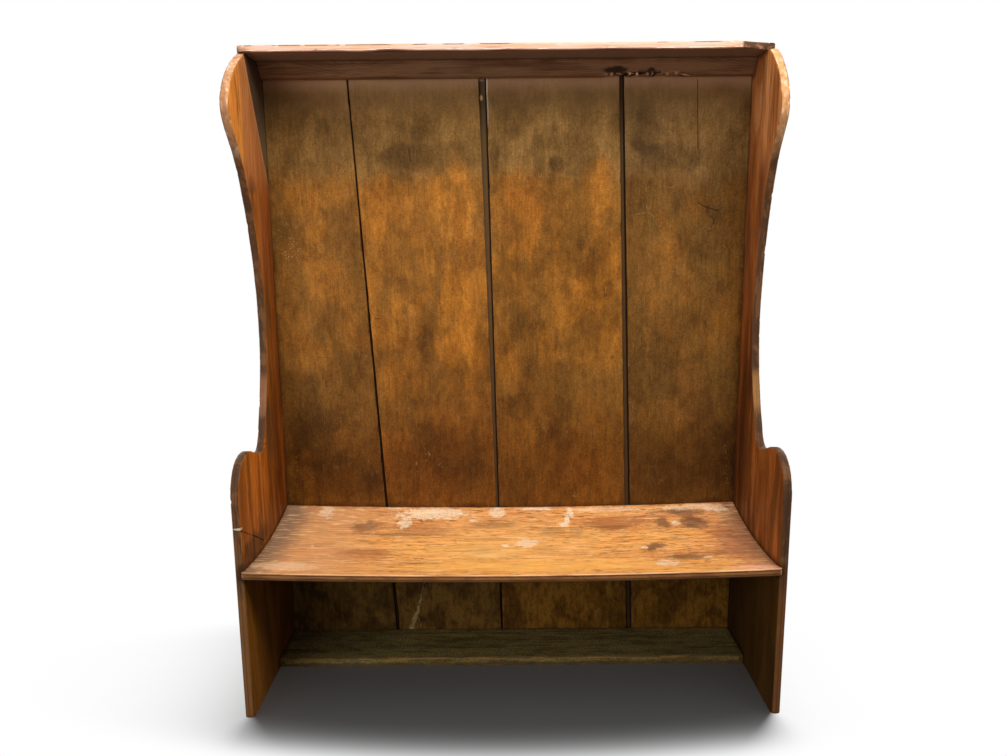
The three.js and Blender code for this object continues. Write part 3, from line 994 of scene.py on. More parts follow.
def heads_on(node_name):
    """The middles of the nail heads that show on a board."""
    low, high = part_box(node_name)
    margin = 2 * MM
    inside = lambda head: all(low[i] - margin < head[i] < high[i] + margin for i in range(3))
    return [head for head in nail_heads.values() if inside(head)]


def make_board(piece, node_name, cell=4.2 * MM, bevel=1.4 * MM, lines=(), seed=0):
    """Remakes a CAD board, with the wear that every board has."""
    mesh = remade_mesh(node_name, cell, bevel)
    heads = heads_on(node_name)
    divide_near(mesh, [np.array(head) for head in heads], HEAD_FINE)
    if lines:
        divide_near(mesh, lines, CRACK_FINE, cuts=3)
    board = Board(piece, node_name, mesh)
    board.warp(0.45 * MM, 0.12, seed)
    board.wear_arrises(1.1 * MM, 45 * MM, seed + 1)
    board.nick_arrises(1.6 * MM, 17 * MM, 0.45, seed + 2)
    for i, head in enumerate(heads):
        board.dent(head, (HEAD_DENT,) * 3, 1.0 * MM, seed + 20 + i, ragged=0.12)
    return board


# %% [markdown]
# ## The back planks
# Four wide pine planks stand side by side, lapped at their slanting joints. Each was sawn from its
# own log, so each has its own figure, knots and tone. Near the top they are olive and dull, partly
# old varnish and partly painted shade from the hood, and just under the rail a paler band is painted
# in as light against the shadow of the rail and the hood. Lower down the varnish has worn to warm
# amber strokes, most of all on the two middle planks. Towards the bottom the planks are painted
# darker as shade, and below the seat they turn a duller olive, partly as painted shade. Behind, the
# planks were never finished. One function gives them all, with values for each plank.

# %% The plank finish
PLANK_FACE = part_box("back_plank_1")[0].y
PLANK_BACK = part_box("back_plank_1")[1].y
SEAT_TOP = 0.41
SHADED_VARNISH_LINE = 1.40
BARE_BACK = paint(128, 108, 86)
OLIVE = paint(150, 112, 60)
AMBER = paint(190, 121, 40)
# Stains multiply what lies below, so these two keep the figure in view.
DARK = (0.46, 0.43, 0.35, 1)
DEEP = (0.3, 0.26, 0.2, 1)


def plank_mark(wood, centre, reach, **values):
    """A mark on the planks' front. centre and reach are across and up, in metres."""
    return wood.mark((centre[0], PLANK_FACE, centre[1]), (reach[0], 0.05, reach[1]), **values)


def plank_finish(number, middle, amber, lap, upper=OLIVE, knots=(), marks=(), touches=(), **figure):
    """The wood of one plank: its shade half way up, how much amber is left, and its lap's colour."""
    wood = Finish(f"plank_{number}_wood", "z", "x", "y", number, face=PLANK_FACE, shine=0.12)
    for x, z, size in knots:
        wood.knot((x, PLANK_FACE, z), size)
    wood.figure(middle, paint(108, 70, 26), contrast=0.14, ring_width=0.0042, **figure)
    # Painted shade: above this line the planks are olive and dull, partly old varnish and partly the hood's
    # shade painted in
    top = wood.past("z", SHADED_VARNISH_LINE - 0.03, SHADED_VARNISH_LINE + 0.05, wavy=0.06)
    belly = wood.between("z", 0.86, SHADED_VARNISH_LINE - 0.02, 0.07, wavy=0.08)
    wood.lay(top, upper, 0.85, rough=0.62)
    warm = wood.blotches((7, 7, 4.6), cover=0.5, softness=0.12, fray=0.08)
    wood.lay(wood.both(warm, belly), AMBER, amber, rough=0.45)
    for centre, reach, colour, strength in marks:
        mask = plank_mark(wood, centre, reach, ragged=1.7, softness=0.34, noise_scale=18)
        coat = wood.stain if colour in (DARK, DEEP) else wood.lay
        coat(mask, colour, strength)
    strokes = wood.blotches((17, 12, 7), cover=0.46, fray=0.06)
    wood.lay(wood.both(strokes, belly), paint(206, 131, 42), 0.08 + amber * 0.46)
    wood.lay(wood.blotches((13, 11, 6.5), cover=0.45, fray=0.06), paint(112, 80, 34), 0.46)
    wood.stain(wood.blotches((8, 8, 5), cover=0.42, softness=0.12, fray=0.08), DARK, 0.6)
    wood.stain(wood.blotches((30, 28, 19), cover=0.38, softness=0.12, fray=0.1), (0.7, 0.65, 0.56, 1), 0.6)
    grime = noise(wood.tree, wood.place, scale=230.0, detail=3.0, roughness=0.7)
    grimy = ease(wood.tree, grime, 0.46, 0.64)
    wood.stain(grimy, (0.6, 0.56, 0.48, 1), 0.65)
    wood.stain(ease(wood.tree, grime, 0.46, 0.3), (1.4, 1.36, 1.18, 1), 0.7)
    mottle = wood.blotches((75, 60, 30), cover=0.44, fray=0.05)
    wood.stain(mottle, (0.74, 0.7, 0.62, 1), 0.6)
    # Painted shade: the planks darken towards the bottom, where less light falls
    wood.stain(wood.past("z", 0.82, 0.58, wavy=0.05), (0.7, 0.59, 0.37, 1), 0.9)
    wood.grain_lines(0.14)
    wood.hair(0.42)
    scratched = wood.both(wood.scratches((60, 60, 14), 0.006), wood.blotches((9, 9, 9), cover=0.4))
    wood.lay(scratched, paint(190, 150, 96), 0.4)
    wood.lay(wood.edge_wear(0.14, 0.5, 45), paint(170, 120, 66), 0.3)
    # Dirt and painted shade darken the planks near the other boards, but not high up
    dirty_and_shaded_corners = wood.both(wood.corner_dirt_and_shade(0.4), wood.past("z", 1.5, 1.3))
    wood.stain(dirty_and_shaded_corners, (0.4, 0.33, 0.26, 1), 0.75, rough=0.8)
    # Painted light: a paler band just under the rail lifts the shadow that the rail and the hood cast there
    wood.lay(wood.past("z", 1.55, 1.66, wavy=0.03), paint(178, 136, 88), 0.4)
    wood.lay(wood.past("z", 1.63, 1.668, wavy=0.012), paint(206, 158, 124), 0.42)
    # Below the seat the planks turn a duller olive and darker in patches, partly as painted shade under the
    # seat
    beneath = wood.past("z", SEAT_TOP, SEAT_TOP - 0.02)
    wood.lay(beneath, paint(122, 90, 38) if number < 3 else paint(152, 104, 34), 0.78, rough=0.75)
    wood.stain(wood.both(beneath, mottle), (0.55, 0.5, 0.4, 1), 0.8)
    wood.stain(wood.both(beneath, grimy), (0.6, 0.56, 0.48, 1), 0.7)
    wood.lay(wood.both(beneath, scratched), paint(160, 126, 74), 0.5)
    wood.stain(wood.both(beneath, wood.blotches((15, 15, 10), cover=0.46)), DEEP, 0.75)
    wood.lay(wood.specks(9 * MM, 0.1, 0.16), paint(52, 36, 20), 0.5)
    wood.lay(wood.past("y", PLANK_FACE + 2.5 * MM, PLANK_FACE + 5 * MM), lap, 0.9, rough=0.85)
    joint = ease(wood.tree, wood.measured("joint"), 0.1, 0.6)
    wood.lay(joint, paint(26, 15, 7), 0.92, rough=0.9)
    for centre, reach, colour, strength in touches:
        mask = plank_mark(wood, centre, reach, ragged=0.8, noise_scale=120)
        wood.lay(mask, colour, strength)
    if number == 1:
        cluster = plank_mark(wood, (-0.636, 1.225), (0.03, 0.06), ragged=1.0, softness=0.5)
        wood.lay(wood.both(cluster, wood.specks(6 * MM, 0.24, 0.4)), paint(224, 202, 164), 0.85)
    wood.breaks(fresh=paint(176, 146, 98))
    behind = wood.past("y", PLANK_BACK - 7 * MM, PLANK_BACK - 2 * MM)
    wood.bare_side(behind, BARE_BACK, paint(176, 150, 116))
    wood.lay(wood.both(behind, joint), paint(46, 34, 24), 0.8)
    wood.nail_rust()
    return wood.close()


# %% [markdown]
# ### Marks on each plank
# The real planks carry marks that one remembers them by: a knot with dark slashes near the top of
# the fourth, a torn crack in the second, dark blotches where something was spilled. They are listed
# one by one, in metres across and up the plank.

# %% Values for the planks
# Each mark is a place and a reach, both in metres across and up, a colour and a strength.
PLANKS = {
    1: dict(
        middle=paint(146, 98, 40), amber=0.35, lap=paint(44, 28, 14), pith_depth=0.10,
        pith_shift=-0.64, wander=1.1,
        knots=((-0.545, 1.12, 0.007),),
        marks=(
            ((-0.537, 1.2), (0.065, 0.09), AMBER, 0.25),
            ((-0.665, 1.3), (0.03, 0.09), paint(160, 112, 56), 0.5),
            ((-0.62, 0.93), (0.05, 0.04), DARK, 0.5), ((-0.47, 1.52), (0.08, 0.06), DARK, 0.4),
            ((-0.577, 1.35), (0.07, 0.045), AMBER, 0.35), ((-0.44, 1.115), (0.03, 0.05), DARK, 0.6),
            ((-0.565, 0.656), (0.09, 0.11), DARK, 0.75), ((-0.655, 1.56), (0.026, 0.05), DARK, 0.5),
            ((-0.50, 0.645), (0.026, 0.035), paint(176, 116, 52), 0.6),
            ((-0.50, 0.52), (0.12, 0.07), DARK, 0.7), ((-0.436, 0.907), (0.025, 0.06), DARK, 0.6),
        ),
    ),
    2: dict(
        middle=paint(160, 104, 40), amber=0.6, lap=paint(88, 66, 42), pith_depth=0.055,
        pith_shift=-0.272, wander=1.5,
        knots=((-0.277, 1.467, 0.008),),
        marks=(
            ((-0.359, 1.295), (0.05, 0.11), AMBER, 0.6),
            ((-0.148, 1.328), (0.07, 0.12), paint(208, 134, 50), 0.7),
            ((-0.136, 0.969), (0.066, 0.2), AMBER, 0.6), ((-0.324, 0.85), (0.05, 0.1), AMBER, 0.4),
            ((-0.137, 1.307), (0.018, 0.07), DARK, 0.6), ((-0.285, 1.462), (0.08, 0.04), DARK, 0.85),
            ((-0.243, 0.925), (0.026, 0.05), DARK, 0.9), ((-0.375, 0.95), (0.022, 0.055), DARK, 0.6),
            ((-0.39, 1.52), (0.05, 0.06), DARK, 0.45), ((-0.149, 1.458), (0.085, 0.035), DARK, 0.45),
            ((-0.078, 0.88), (0.03, 0.1), DARK, 0.8), ((-0.289, 1.245), (0.06, 0.07), DARK, 0.3),
            ((-0.22, 0.55), (0.15, 0.13), DARK, 0.7),
            ((-0.285, 1.0), (0.014, 0.05), paint(214, 148, 72), 0.35),
        ),
        touches=(
            ((-0.073, 1.621), (0.004, 0.008), paint(232, 184, 132), 0.9),
            ((-0.075, 1.668), (0.012, 0.004), paint(176, 156, 136), 0.7),
        ),
    ),
    3: dict(
        middle=paint(150, 100, 38), amber=0.5, lap=paint(70, 50, 30), pith_depth=0.08, pith_shift=0.17,
        wander=1.2,
        knots=((0.06, 0.855, 0.008),),
        marks=(
            ((0.03, 1.30), (0.075, 0.095), paint(206, 128, 46), 0.75),
            ((0.255, 1.36), (0.04, 0.1), AMBER, 0.65), ((0.18, 0.952), (0.085, 0.1), AMBER, 0.4),
            ((0.28, 1.0), (0.03, 0.06), AMBER, 0.4), ((0.034, 1.19), (0.035, 0.17), AMBER, 0.5),
            ((0.176, 0.55), (0.06, 0.05), paint(176, 116, 52), 0.5),
            ((0.265, 1.126), (0.05, 0.075), DARK, 0.85), ((0.123, 0.952), (0.03, 0.06), DARK, 0.6),
            ((-0.03, 0.87), (0.026, 0.09), DARK, 0.6),
            ((0.13, 1.58), (0.16, 0.08), paint(164, 122, 66), 0.6),
            ((0.086, 1.47), (0.02, 0.06), DARK, 0.6), ((0.12, 1.505), (0.04, 0.04), DARK, 0.5),
            ((0.139, 1.44), (0.022, 0.022), DARK, 0.8), ((0.17, 1.22), (0.05, 0.075), DARK, 0.5),
            ((0.011, 0.983), (0.05, 0.07), DARK, 0.5), ((0.03, 0.74), (0.045, 0.04), DARK, 0.6),
            ((0.144, 0.619), (0.06, 0.075), DARK, 0.5), ((-0.036, 1.457), (0.012, 0.06), DEEP, 0.5),
            ((0.22, 1.585), (0.035, 0.05), DARK, 0.5), ((0.258, 0.09), (0.065, 0.045), DEEP, 0.8),
            ((0.28, 1.068), (0.005, 0.006), DEEP, 0.8), ((0.304, 0.885), (0.005, 0.006), DEEP, 0.8),
            ((0.03, 1.65), (0.11, 0.03), paint(190, 136, 94), 0.75),
        ),
        touches=(
            ((-0.0566, 1.65), (0.0026, 0.03), paint(214, 204, 190), 0.85),
            ((-0.0548, 1.585), (0.0022, 0.045), paint(196, 182, 164), 0.7),
        ),
    ),
    4: dict(
        middle=paint(112, 76, 30), amber=0.1, upper=paint(140, 105, 58), lap=paint(70, 50, 30),
        pith_depth=0.06, pith_shift=0.49, wander=1.4,
        knots=((0.571, 1.311, 0.009),),
        marks=(
            ((0.454, 1.11), (0.07, 0.14), paint(166, 110, 46), 0.5),
            ((0.465, 0.7), (0.07, 0.06), paint(160, 106, 44), 0.4),
            ((0.391, 1.53), (0.04, 0.07), DARK, 0.7), ((0.45, 1.455), (0.11, 0.04), DARK, 0.8),
            ((0.58, 1.46), (0.06, 0.04), DARK, 0.4),
            ((0.535, 0.845), (0.04, 0.12), paint(160, 106, 46), 0.45),
            ((0.60, 1.36), (0.06, 0.1), DARK, 0.35), ((0.62, 0.59), (0.07, 0.1), DARK, 0.6),
            ((0.47, 0.53), (0.09, 0.06), DARK, 0.4),
            ((0.366, 1.657), (0.05, 0.014), paint(158, 104, 68), 0.8),
        ),
    ),
}
# Each crack and tear runs through its places. A tear's first number is its width in millimetres.
CRACKS = {
    2: (
        ((-0.279, 1.483), (-0.275, 1.45)),
        ((-0.392, 1.004), (-0.378, 1.004)),
    ),
    4: (
        ((0.53, 1.664), (0.532, 1.58), (0.537, 1.474)),
        ((0.54, 1.33), (0.552, 1.322), (0.568, 1.313), (0.584, 1.311), (0.602, 1.304)),
        ((0.576, 1.292), (0.585, 1.285), (0.592, 1.276), (0.588, 1.266)),
    ),
}
TEARS = {
    2: (
        (2.6, (-0.267, 0.185), (-0.281, 0.13)),
        (6.5, (-0.283, 0.125), (-0.292, 0.085)),
        (9.0, (-0.294, 0.08), (-0.312, 0.032)),
        (4.0, (-0.292, 0.07), (-0.281, 0.034)),
    ),
    3: (
        (1.3, (0.047, 0.872), (0.055, 0.857), (0.066, 0.853), (0.078, 0.865)),
        (1.1, (0.216, 1.367), (0.234, 1.366), (0.251, 1.364), (0.272, 1.367), (0.29, 1.369)),
        (1.0, (0.265, 1.35), (0.262, 1.333), (0.257, 1.316)),
    ),
    4: (
        (
            1.3, (0.444, 1.378), (0.458, 1.371), (0.47, 1.372), (0.477, 1.382), (0.48, 1.393),
            (0.492, 1.404),
        ),
        (1.1, (0.492, 1.404), (0.502, 1.417), (0.512, 1.428)),
        (1.1, (0.366, 1.298), (0.383, 1.302), (0.4, 1.303), (0.412, 1.297), (0.418, 1.287)),
        (1.0, (0.403, 1.284), (0.404, 1.27), (0.408, 1.253)),
        (1.2, (0.592, 1.28), (0.592, 1.266), (0.584, 1.255), (0.57, 1.258), (0.561, 1.264)),
        (1.6, (0.329, 1.668), (0.33, 1.648)),
    ),
}


# %% Make the planks
CRACK_WIDE = 1.4 * MM
CRACK_DEEP = 1.8 * MM
TEAR_DEEP = 1.6 * MM
# A tear wider than this is still pale, and has a crack along its right side.
FRESH_TEAR = 2 * MM


def on_face(line):
    """Places across and up, set on the planks' front."""
    return [(x, PLANK_FACE, z) for x, z in line]


for number, values in PLANKS.items():
    material = plank_finish(number, **values)
    cracks = [on_face(line) for line in CRACKS.get(number, ())]
    tears = [(width * MM, on_face(line)) for width, *line in TEARS.get(number, ())]
    lines = (*cracks, *(line for width, line in tears))
    board = make_board(f"plank_{number}", f"back_plank_{number}", lines=lines, seed=100 * number)
    for line in cracks:
        board.groove(line, CRACK_WIDE, CRACK_DEEP, 100 * number)
    for width, line in tears:
        board.tear(line, width, TEAR_DEEP, 100 * number, fresh=0.85 if width > FRESH_TEAR else 0.35)
        if width > FRESH_TEAR:
            board.groove(np.array(line) + (width, 0, 0), 1.3 * MM, 2.5 * MM, 100 * number)
    board.finish(material, "plank_wood")

# %% [markdown]
# ## The ends
# Each end is one wide board with the grain upright: a foot, a rounded arm, a waist and a wing. Its
# inner face is waxed and rubbed by shoulders, so it glows orange. Towards the back, in the corner
# between the seat and the planks, and low down under the seat it is painted darker, as shade, and
# high on the left end the hood's shadow is painted as a dark, dull wedge behind the wing, with a pale
# line painted along its edge as a highlight. The narrow front edge was touched by every hand and has
# worn to bare, pinkish wood, with painted highlights among the pale patches high on the wings. The
# outside was never waxed. One function gives both ends.

# %% The end finish
# The hood's shadow is painted as a dark wedge high on the left end. Its edge runs down and back:
# y plus the slope times z is the same all along it.
HOOD_SHADOW_SLOPE = 0.478
HOOD_SHADOW_AT = 0.86


def end_finish(side, seed, tones, glow, foot_tone, streaks, knots=(), **figure):
    """The wood of one end. side is -1 for the left end and 1 for the right; tones are colours up the end."""
    low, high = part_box("end_left" if side < 0 else "end_right")
    inner = high.x if side < 0 else low.x
    outer = low.x if side < 0 else high.x
    wood = Finish(f"end_wood_{'left' if side < 0 else 'right'}", "z", "y", "x", seed, face=inner, shine=0.16)
    for y, z, size in knots:
        wood.knot((inner, y, z), size)
    wood.figure(tones[0][1], paint(120, 66, 26), contrast=0.16, **figure)
    for level, colour in tones[1:]:
        wood.lay(wood.past("z", level + 0.05, level - 0.05, wavy=0.05), colour, 0.92)
    above = wood.past("z", 0.36, 0.44)
    below = wood.past("z", 0.44, 0.36)
    glowing = wood.blotches((30, 30, 3.4), cover=0.46, fray=0.5)
    wood.lay(wood.both(glowing, above), glow, 0.65, rough=0.42)
    wood.stain(wood.blotches((24, 24, 4), cover=0.44, softness=0.12, fray=0.4), (0.46, 0.4, 0.32, 1), 0.66)
    fine_streaks = wood.both(above, wood.blotches((80, 80, 9), cover=0.42, fray=0.5))
    wood.stain(fine_streaks, (0.66, 0.58, 0.5, 1), 0.6)
    # Painted shade: the inner face is darker towards the back, where it meets the planks, and darker still in
    # the corner between the seat and the planks
    wood.stain(wood.past("y", 0.03, 0.17), (0.6, 0.5, 0.42, 1), 0.8 if side < 0 else 0.6)
    hollow = wood.both(wood.past("y", 0.0, 0.1, wavy=0.02), wood.between("z", 0.4, 0.9, 0.08))
    wood.stain(hollow, (0.56, 0.54, 0.46, 1), 0.8)
    wood.lay(below, foot_tone, 0.5, rough=0.6)
    wood.stain(wood.both(below, wood.blotches((12, 12, 4), cover=0.46)), DARK, 0.7)
    # Painted shade: below the seat the end is darker towards the back, deeper under the seat
    wood.stain(wood.both(below, wood.past("y", -0.12, 0.14)), (0.42, 0.34, 0.26, 1), 0.7)
    for centre, reach, colour, strength in streaks:
        mask = wood.mark((inner, *centre), (0.02, *reach), ragged=1.3, softness=0.4, noise_scale=40)
        wood.lay(mask, colour, strength)
    if side < 0:
        high_up = wood.past("z", 1.34, 1.42)
        duller = wood.both(wood.past("y", -0.012, 0.01, wavy=0.01), high_up)
        wood.lay(duller, paint(180, 112, 64), 0.7)
        # Painted shade and highlight: the hood's shadow lies as a dark, dull wedge near the back, paler lower
        # down, with a pale line painted along its edge as a highlight
        shadow_edge_highlight = wood.oblique(("y", 1.0), ("z", HOOD_SHADOW_SLOPE), HOOD_SHADOW_AT - 3 * MM, HOOD_SHADOW_AT + 2 * MM)
        wood.lay(wood.both(shadow_edge_highlight, high_up), paint(226, 172, 124), 0.5)
        painted_hood_shadow = wood.oblique(("y", 1.0), ("z", HOOD_SHADOW_SLOPE), HOOD_SHADOW_AT + 3 * MM, HOOD_SHADOW_AT + 7 * MM)
        painted_hood_shadow = wood.both(painted_hood_shadow, high_up)
        wood.lay(painted_hood_shadow, paint(62, 46, 33), 0.95, rough=0.8)
        wood.lay(wood.both(painted_hood_shadow, wood.past("z", 1.6, 1.46)), paint(112, 90, 56), 0.7)
        chip = ((inner, low.y, 0.523), (0.02, 0.014, 0.0032))
        chip = wood.mark(*chip, ragged=1.0, softness=0.2, noise_scale=200)
    wood.grain_lines(0.6 if side < 0 else 0.4)
    wood.hair(0.7 if side < 0 else 0.4)
    rim = wood.measured("rim")
    wood.lay(rim, paint(66, 44, 26), 0.92, rough=0.6)
    high_rim = wood.both(rim, wood.past("z", 1.42, 1.5, wavy=0.03))
    wood.lay(high_rim, paint(212, 156, 112) if side < 0 else paint(226, 164, 104), 0.88)
    # Pale patches high on the front edge: partly bare, worn wood and partly painted highlights
    bare_wood_and_highlights = wood.blotches((60, 60, 22), cover=0.4, softness=0.06, fray=0.2)
    wood.lay(wood.both(high_rim, bare_wood_and_highlights), paint(252, 214, 182), 0.6)
    rubbed = wood.blotches((50, 50, 26), cover=0.36, softness=0.08, fray=0.2)
    wood.stain(wood.both(high_rim, rubbed), (0.6, 0.5, 0.44, 1), 0.7)
    worn = wood.blotches((40, 40, 14), cover=0.36, softness=0.08, fray=0.8)
    wood.lay(wood.both(rim, worn), paint(160, 108, 64), 0.3)
    crown = wood.both(rim, wood.between("z", 0.76, 0.86, 0.02))
    wood.lay(crown, paint(158, 106, 72) if side < 0 else paint(178, 126, 70), 0.6)
    low_rim = wood.both(rim, wood.past("z", 0.4, 0.3, wavy=0.03))
    wood.lay(low_rim, paint(128, 86, 48) if side < 0 else paint(112, 68, 30), 0.7)
    middle = (low.x + high.x) / 2
    line = wood.between("x", middle - 1.2 * MM, middle + 1.2 * MM, 0.8 * MM)
    line = wood.both(line, wood.past("z", 1.0, 0.6, wavy=0.05))
    wood.stain(wood.both(rim, line), (0.46, 0.38, 0.3, 1), 0.7)
    wood.lay(wood.edge_wear(0.045, 0.14, 60), paint(186, 132, 78), 0.6)
    # Dirt and painted shade darken the end near the other boards
    wood.stain(wood.corner_dirt_and_shade(0.5), (0.32, 0.26, 0.2, 1), 0.8, rough=0.8)
    wood.lay(wood.specks(11 * MM, 0.1, 0.2), paint(60, 36, 22), 0.5)
    wood.breaks(fresh=paint(206, 170, 128))
    if side < 0:
        wood.lay(chip, paint(226, 206, 176), 0.85)
    outside = wood.past("x", outer - side * 4 * MM, outer - side * 1 * MM)
    wood.bare_side(outside, paint(122, 82, 52), paint(156, 106, 66))
    wood.nail_rust()
    return wood.close()


# %% Make the left end
inner_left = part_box("end_left")[1].x
left_crack = (
    (inner_left, -0.219, 0.519),
    (inner_left, -0.16, 0.488),
    (inner_left, -0.098, 0.456),
    (inner_left, -0.042, 0.424),
)
# Each pair is a height, and the wood's colour below it.
LEFT_TONES = (
    (1.8, paint(250, 164, 84)),
    (1.42, paint(164, 96, 46)),
    (1.1, paint(144, 92, 40)),
    (0.84, paint(150, 86, 28)),
    (0.38, paint(146, 86, 24)),
)
# Each streak is a place and a reach, both in metres back and up, a colour and a strength.
LEFT_STREAKS = (
    ((-0.07, 1.56), (0.035, 0.12), paint(246, 152, 60), 0.6),
    ((-0.02, 1.47), (0.016, 0.07), paint(246, 160, 66), 0.6),
    ((0.05, 1.378), (0.03, 0.022), paint(92, 56, 30), 0.8),
    ((0.045, 1.33), (0.014, 0.06), paint(88, 58, 34), 0.6),
    ((0.1, 1.27), (0.018, 0.09), paint(176, 106, 52), 0.5),
    ((0.12, 1.05), (0.02, 0.09), paint(112, 74, 36), 0.5),
    ((-0.085, 0.62), (0.03, 0.1), paint(206, 120, 40), 0.6),
    ((-0.03, 0.58), (0.008, 0.12), paint(214, 132, 44), 0.65),
    ((0.02, 0.62), (0.012, 0.1), paint(190, 110, 36), 0.5),
    ((-0.165, 0.71), (0.025, 0.06), paint(186, 108, 40), 0.5),
    ((-0.13, 0.6), (0.012, 0.09), paint(112, 66, 26), 0.5),
    ((0.08, 0.7), (0.03, 0.1), paint(96, 66, 36), 0.6),
    ((-0.12, 0.44), (0.12, 0.035), paint(66, 44, 24), 0.75),
    ((-0.1, 0.2), (0.03, 0.1), paint(132, 80, 28), 0.6),
    ((-0.17, 0.12), (0.02, 0.07), paint(140, 84, 32), 0.5),
)
left_wood = end_finish(
    -1, 11, LEFT_TONES, paint(222, 134, 48), paint(146, 92, 26), LEFT_STREAKS,
    knots=((-0.052, 0.719, 0.006),), pith_depth=0.09, pith_shift=0.12, wander=1.2, ring_width=0.006,
)
left_end = make_board("end_board_left", "end_left", lines=(left_crack,), seed=1100)
left_end.groove(left_crack, 1.5 * MM, 2.2 * MM, 1101)
for place, size in (((0.074, 1.065), 5 * MM), ((0.085, 0.981), 4 * MM), ((-0.052, 0.719), 5 * MM)):
    left_end.dent((inner_left, *place), (size, size, size * 1.6), 1.0 * MM, 1102)
left_end.finish(left_wood, "end_wood")

# %% Make the right end
RIGHT_TONES = (
    (1.8, paint(226, 152, 92)),
    (1.42, paint(156, 94, 50)),
    (1.0, paint(128, 74, 36)),
    (0.84, paint(124, 72, 30)),
    (0.38, paint(96, 62, 14)),
)
RIGHT_STREAKS = (
    ((0.14, 1.58), (0.03, 0.07), paint(236, 164, 104), 0.5),
    ((0.11, 1.4), (0.014, 0.09), paint(196, 124, 66), 0.5),
    ((0.17, 1.22), (0.02, 0.08), paint(96, 58, 32), 0.5),
    ((-0.04, 0.68), (0.03, 0.06), paint(176, 110, 50), 0.5),
    ((0.026, 0.58), (0.01, 0.15), paint(178, 114, 62), 0.5),
    ((-0.08, 0.6), (0.03, 0.1), paint(150, 88, 34), 0.4),
    ((0.1, 0.6), (0.03, 0.12), paint(84, 54, 28), 0.6),
    ((0.06, 0.34), (0.03, 0.03), paint(104, 70, 34), 0.4),
)
right_wood = end_finish(
    1, 12, RIGHT_TONES, paint(196, 118, 54), paint(60, 39, 9), RIGHT_STREAKS,
    knots=((0.05, 1.02, 0.007),), pith_depth=0.11, pith_shift=-0.2, wander=1.1, ring_width=0.006,
)
right_end = make_board("end_board_right", "end_right", seed=1200)
right_end.finish(right_wood, "end_wood")

# %% [markdown]
# ## The seat
# The seat is one wide board. Its front edge was run with a plane that leaves a bead, with a narrow
# groove called a quirk below it, and the moulding turns round the corners. A remesh would lose so
# small a moulding, so this board is lofted: one outline of its section, repeated along the bench at
# heights read off the CAD board, which already has the sag and the hollow.


# %% Outline of the seat's section
seat_low, seat_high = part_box("seat_board")
SEAT_HALF = seat_high.x
SEAT_FRONT = seat_low.y
SEAT_REAR = seat_high.y
CORNER = 14 * MM
STEP_ALONG = 4.4 * MM
STEP_ACROSS = 4.2 * MM
SEAT_THICK = 20 * MM
# Each pair is a distance in from the front, and a height down from the top, in millimetres.
NOSE = (
    (4.6, 20.0), (2.6, 19.4), (1.1, 18.3), (0.35, 16.9), (0.15, 15.6), (1.0, 15.0), (0.35, 14.4), (0.2, 12.6),
    (0.3, 11.0), (0.25, 9.4), (0.3, 7.6), (0.5, 6.6), (1.9, 6.0), (2.2, 5.4), (1.2, 5.0), (0.4, 4.2),
    (0.05, 3.3), (0.05, 2.4), (0.4, 1.5), (1.0, 0.7), (2.0, 0.2), (3.1, 0.0), (4.6, 0.0),
)
QUIRK_LEVEL = 5.6 * MM
# The moulding is this deep, and runs out to a square end over the next 15 mm.
NOSE_DEEP = 5 * MM
RUN_OUT = 20 * MM
SEAT_TREE = cad_trees["seat_board"]


def seat_height_at(x, y, upwards):
    """The CAD board's top or underside at a place."""
    x = max(CORNER - SEAT_HALF, min(SEAT_HALF - CORNER, x))
    y = max(SEAT_FRONT + 6 * MM, min(SEAT_REAR - MM, y))
    for shift in (0, 0.02 * MM, -0.03 * MM):
        start = Vector((x + shift, y + shift / 2, 1.0 if upwards else 0.0))
        hit = SEAT_TREE.ray_cast(start, Vector((0, 0, -1 if upwards else 1)))[0]
        if hit:
            return hit.z
    raise ValueError("no seat at that place")


def seat_section(x, turn):
    """Points round the section at x. turn is the angle round the front corner, 0 along the front."""
    side = 1 if x > 0 else -1
    points = []

    def place(inward, height_of, level):
        pull = inward
        if inward > NOSE_DEEP:
            pull = NOSE_DEEP * (1 - float(fade(inward, NOSE_DEEP, RUN_OUT)))
        across = side * (SEAT_HALF - CORNER + (CORNER - pull) * math.sin(turn)) if turn else x
        if inward < CORNER:
            y = SEAT_FRONT + CORNER - (CORNER - inward) * math.cos(turn)
        else:
            y = SEAT_FRONT + inward
        points.append((across, y, height_of(across, y) + level))

    top = lambda x, y: seat_height_at(x, y, True)
    under = lambda x, y: seat_height_at(x, y, False)
    depth = SEAT_REAR - SEAT_FRONT
    depths = np.linspace(NOSE_DEEP, depth, round(depth / STEP_ACROSS))
    for inward in depths[::-1]:
        place(inward, under, 0.0)
    for inward, down in NOSE:
        if down > 10:
            place(inward * MM, under, SEAT_THICK - down * MM)
        else:
            place(inward * MM, top, -down * MM)
    for inward in depths:
        place(inward, top, 0.0)
    rear = points[-1]
    foot = points[0]
    for share in (0.25, 0.5, 0.75):
        points.append(tuple(rear[i] + (foot[i] - rear[i]) * share for i in range(3)))
    return points, len(depths)


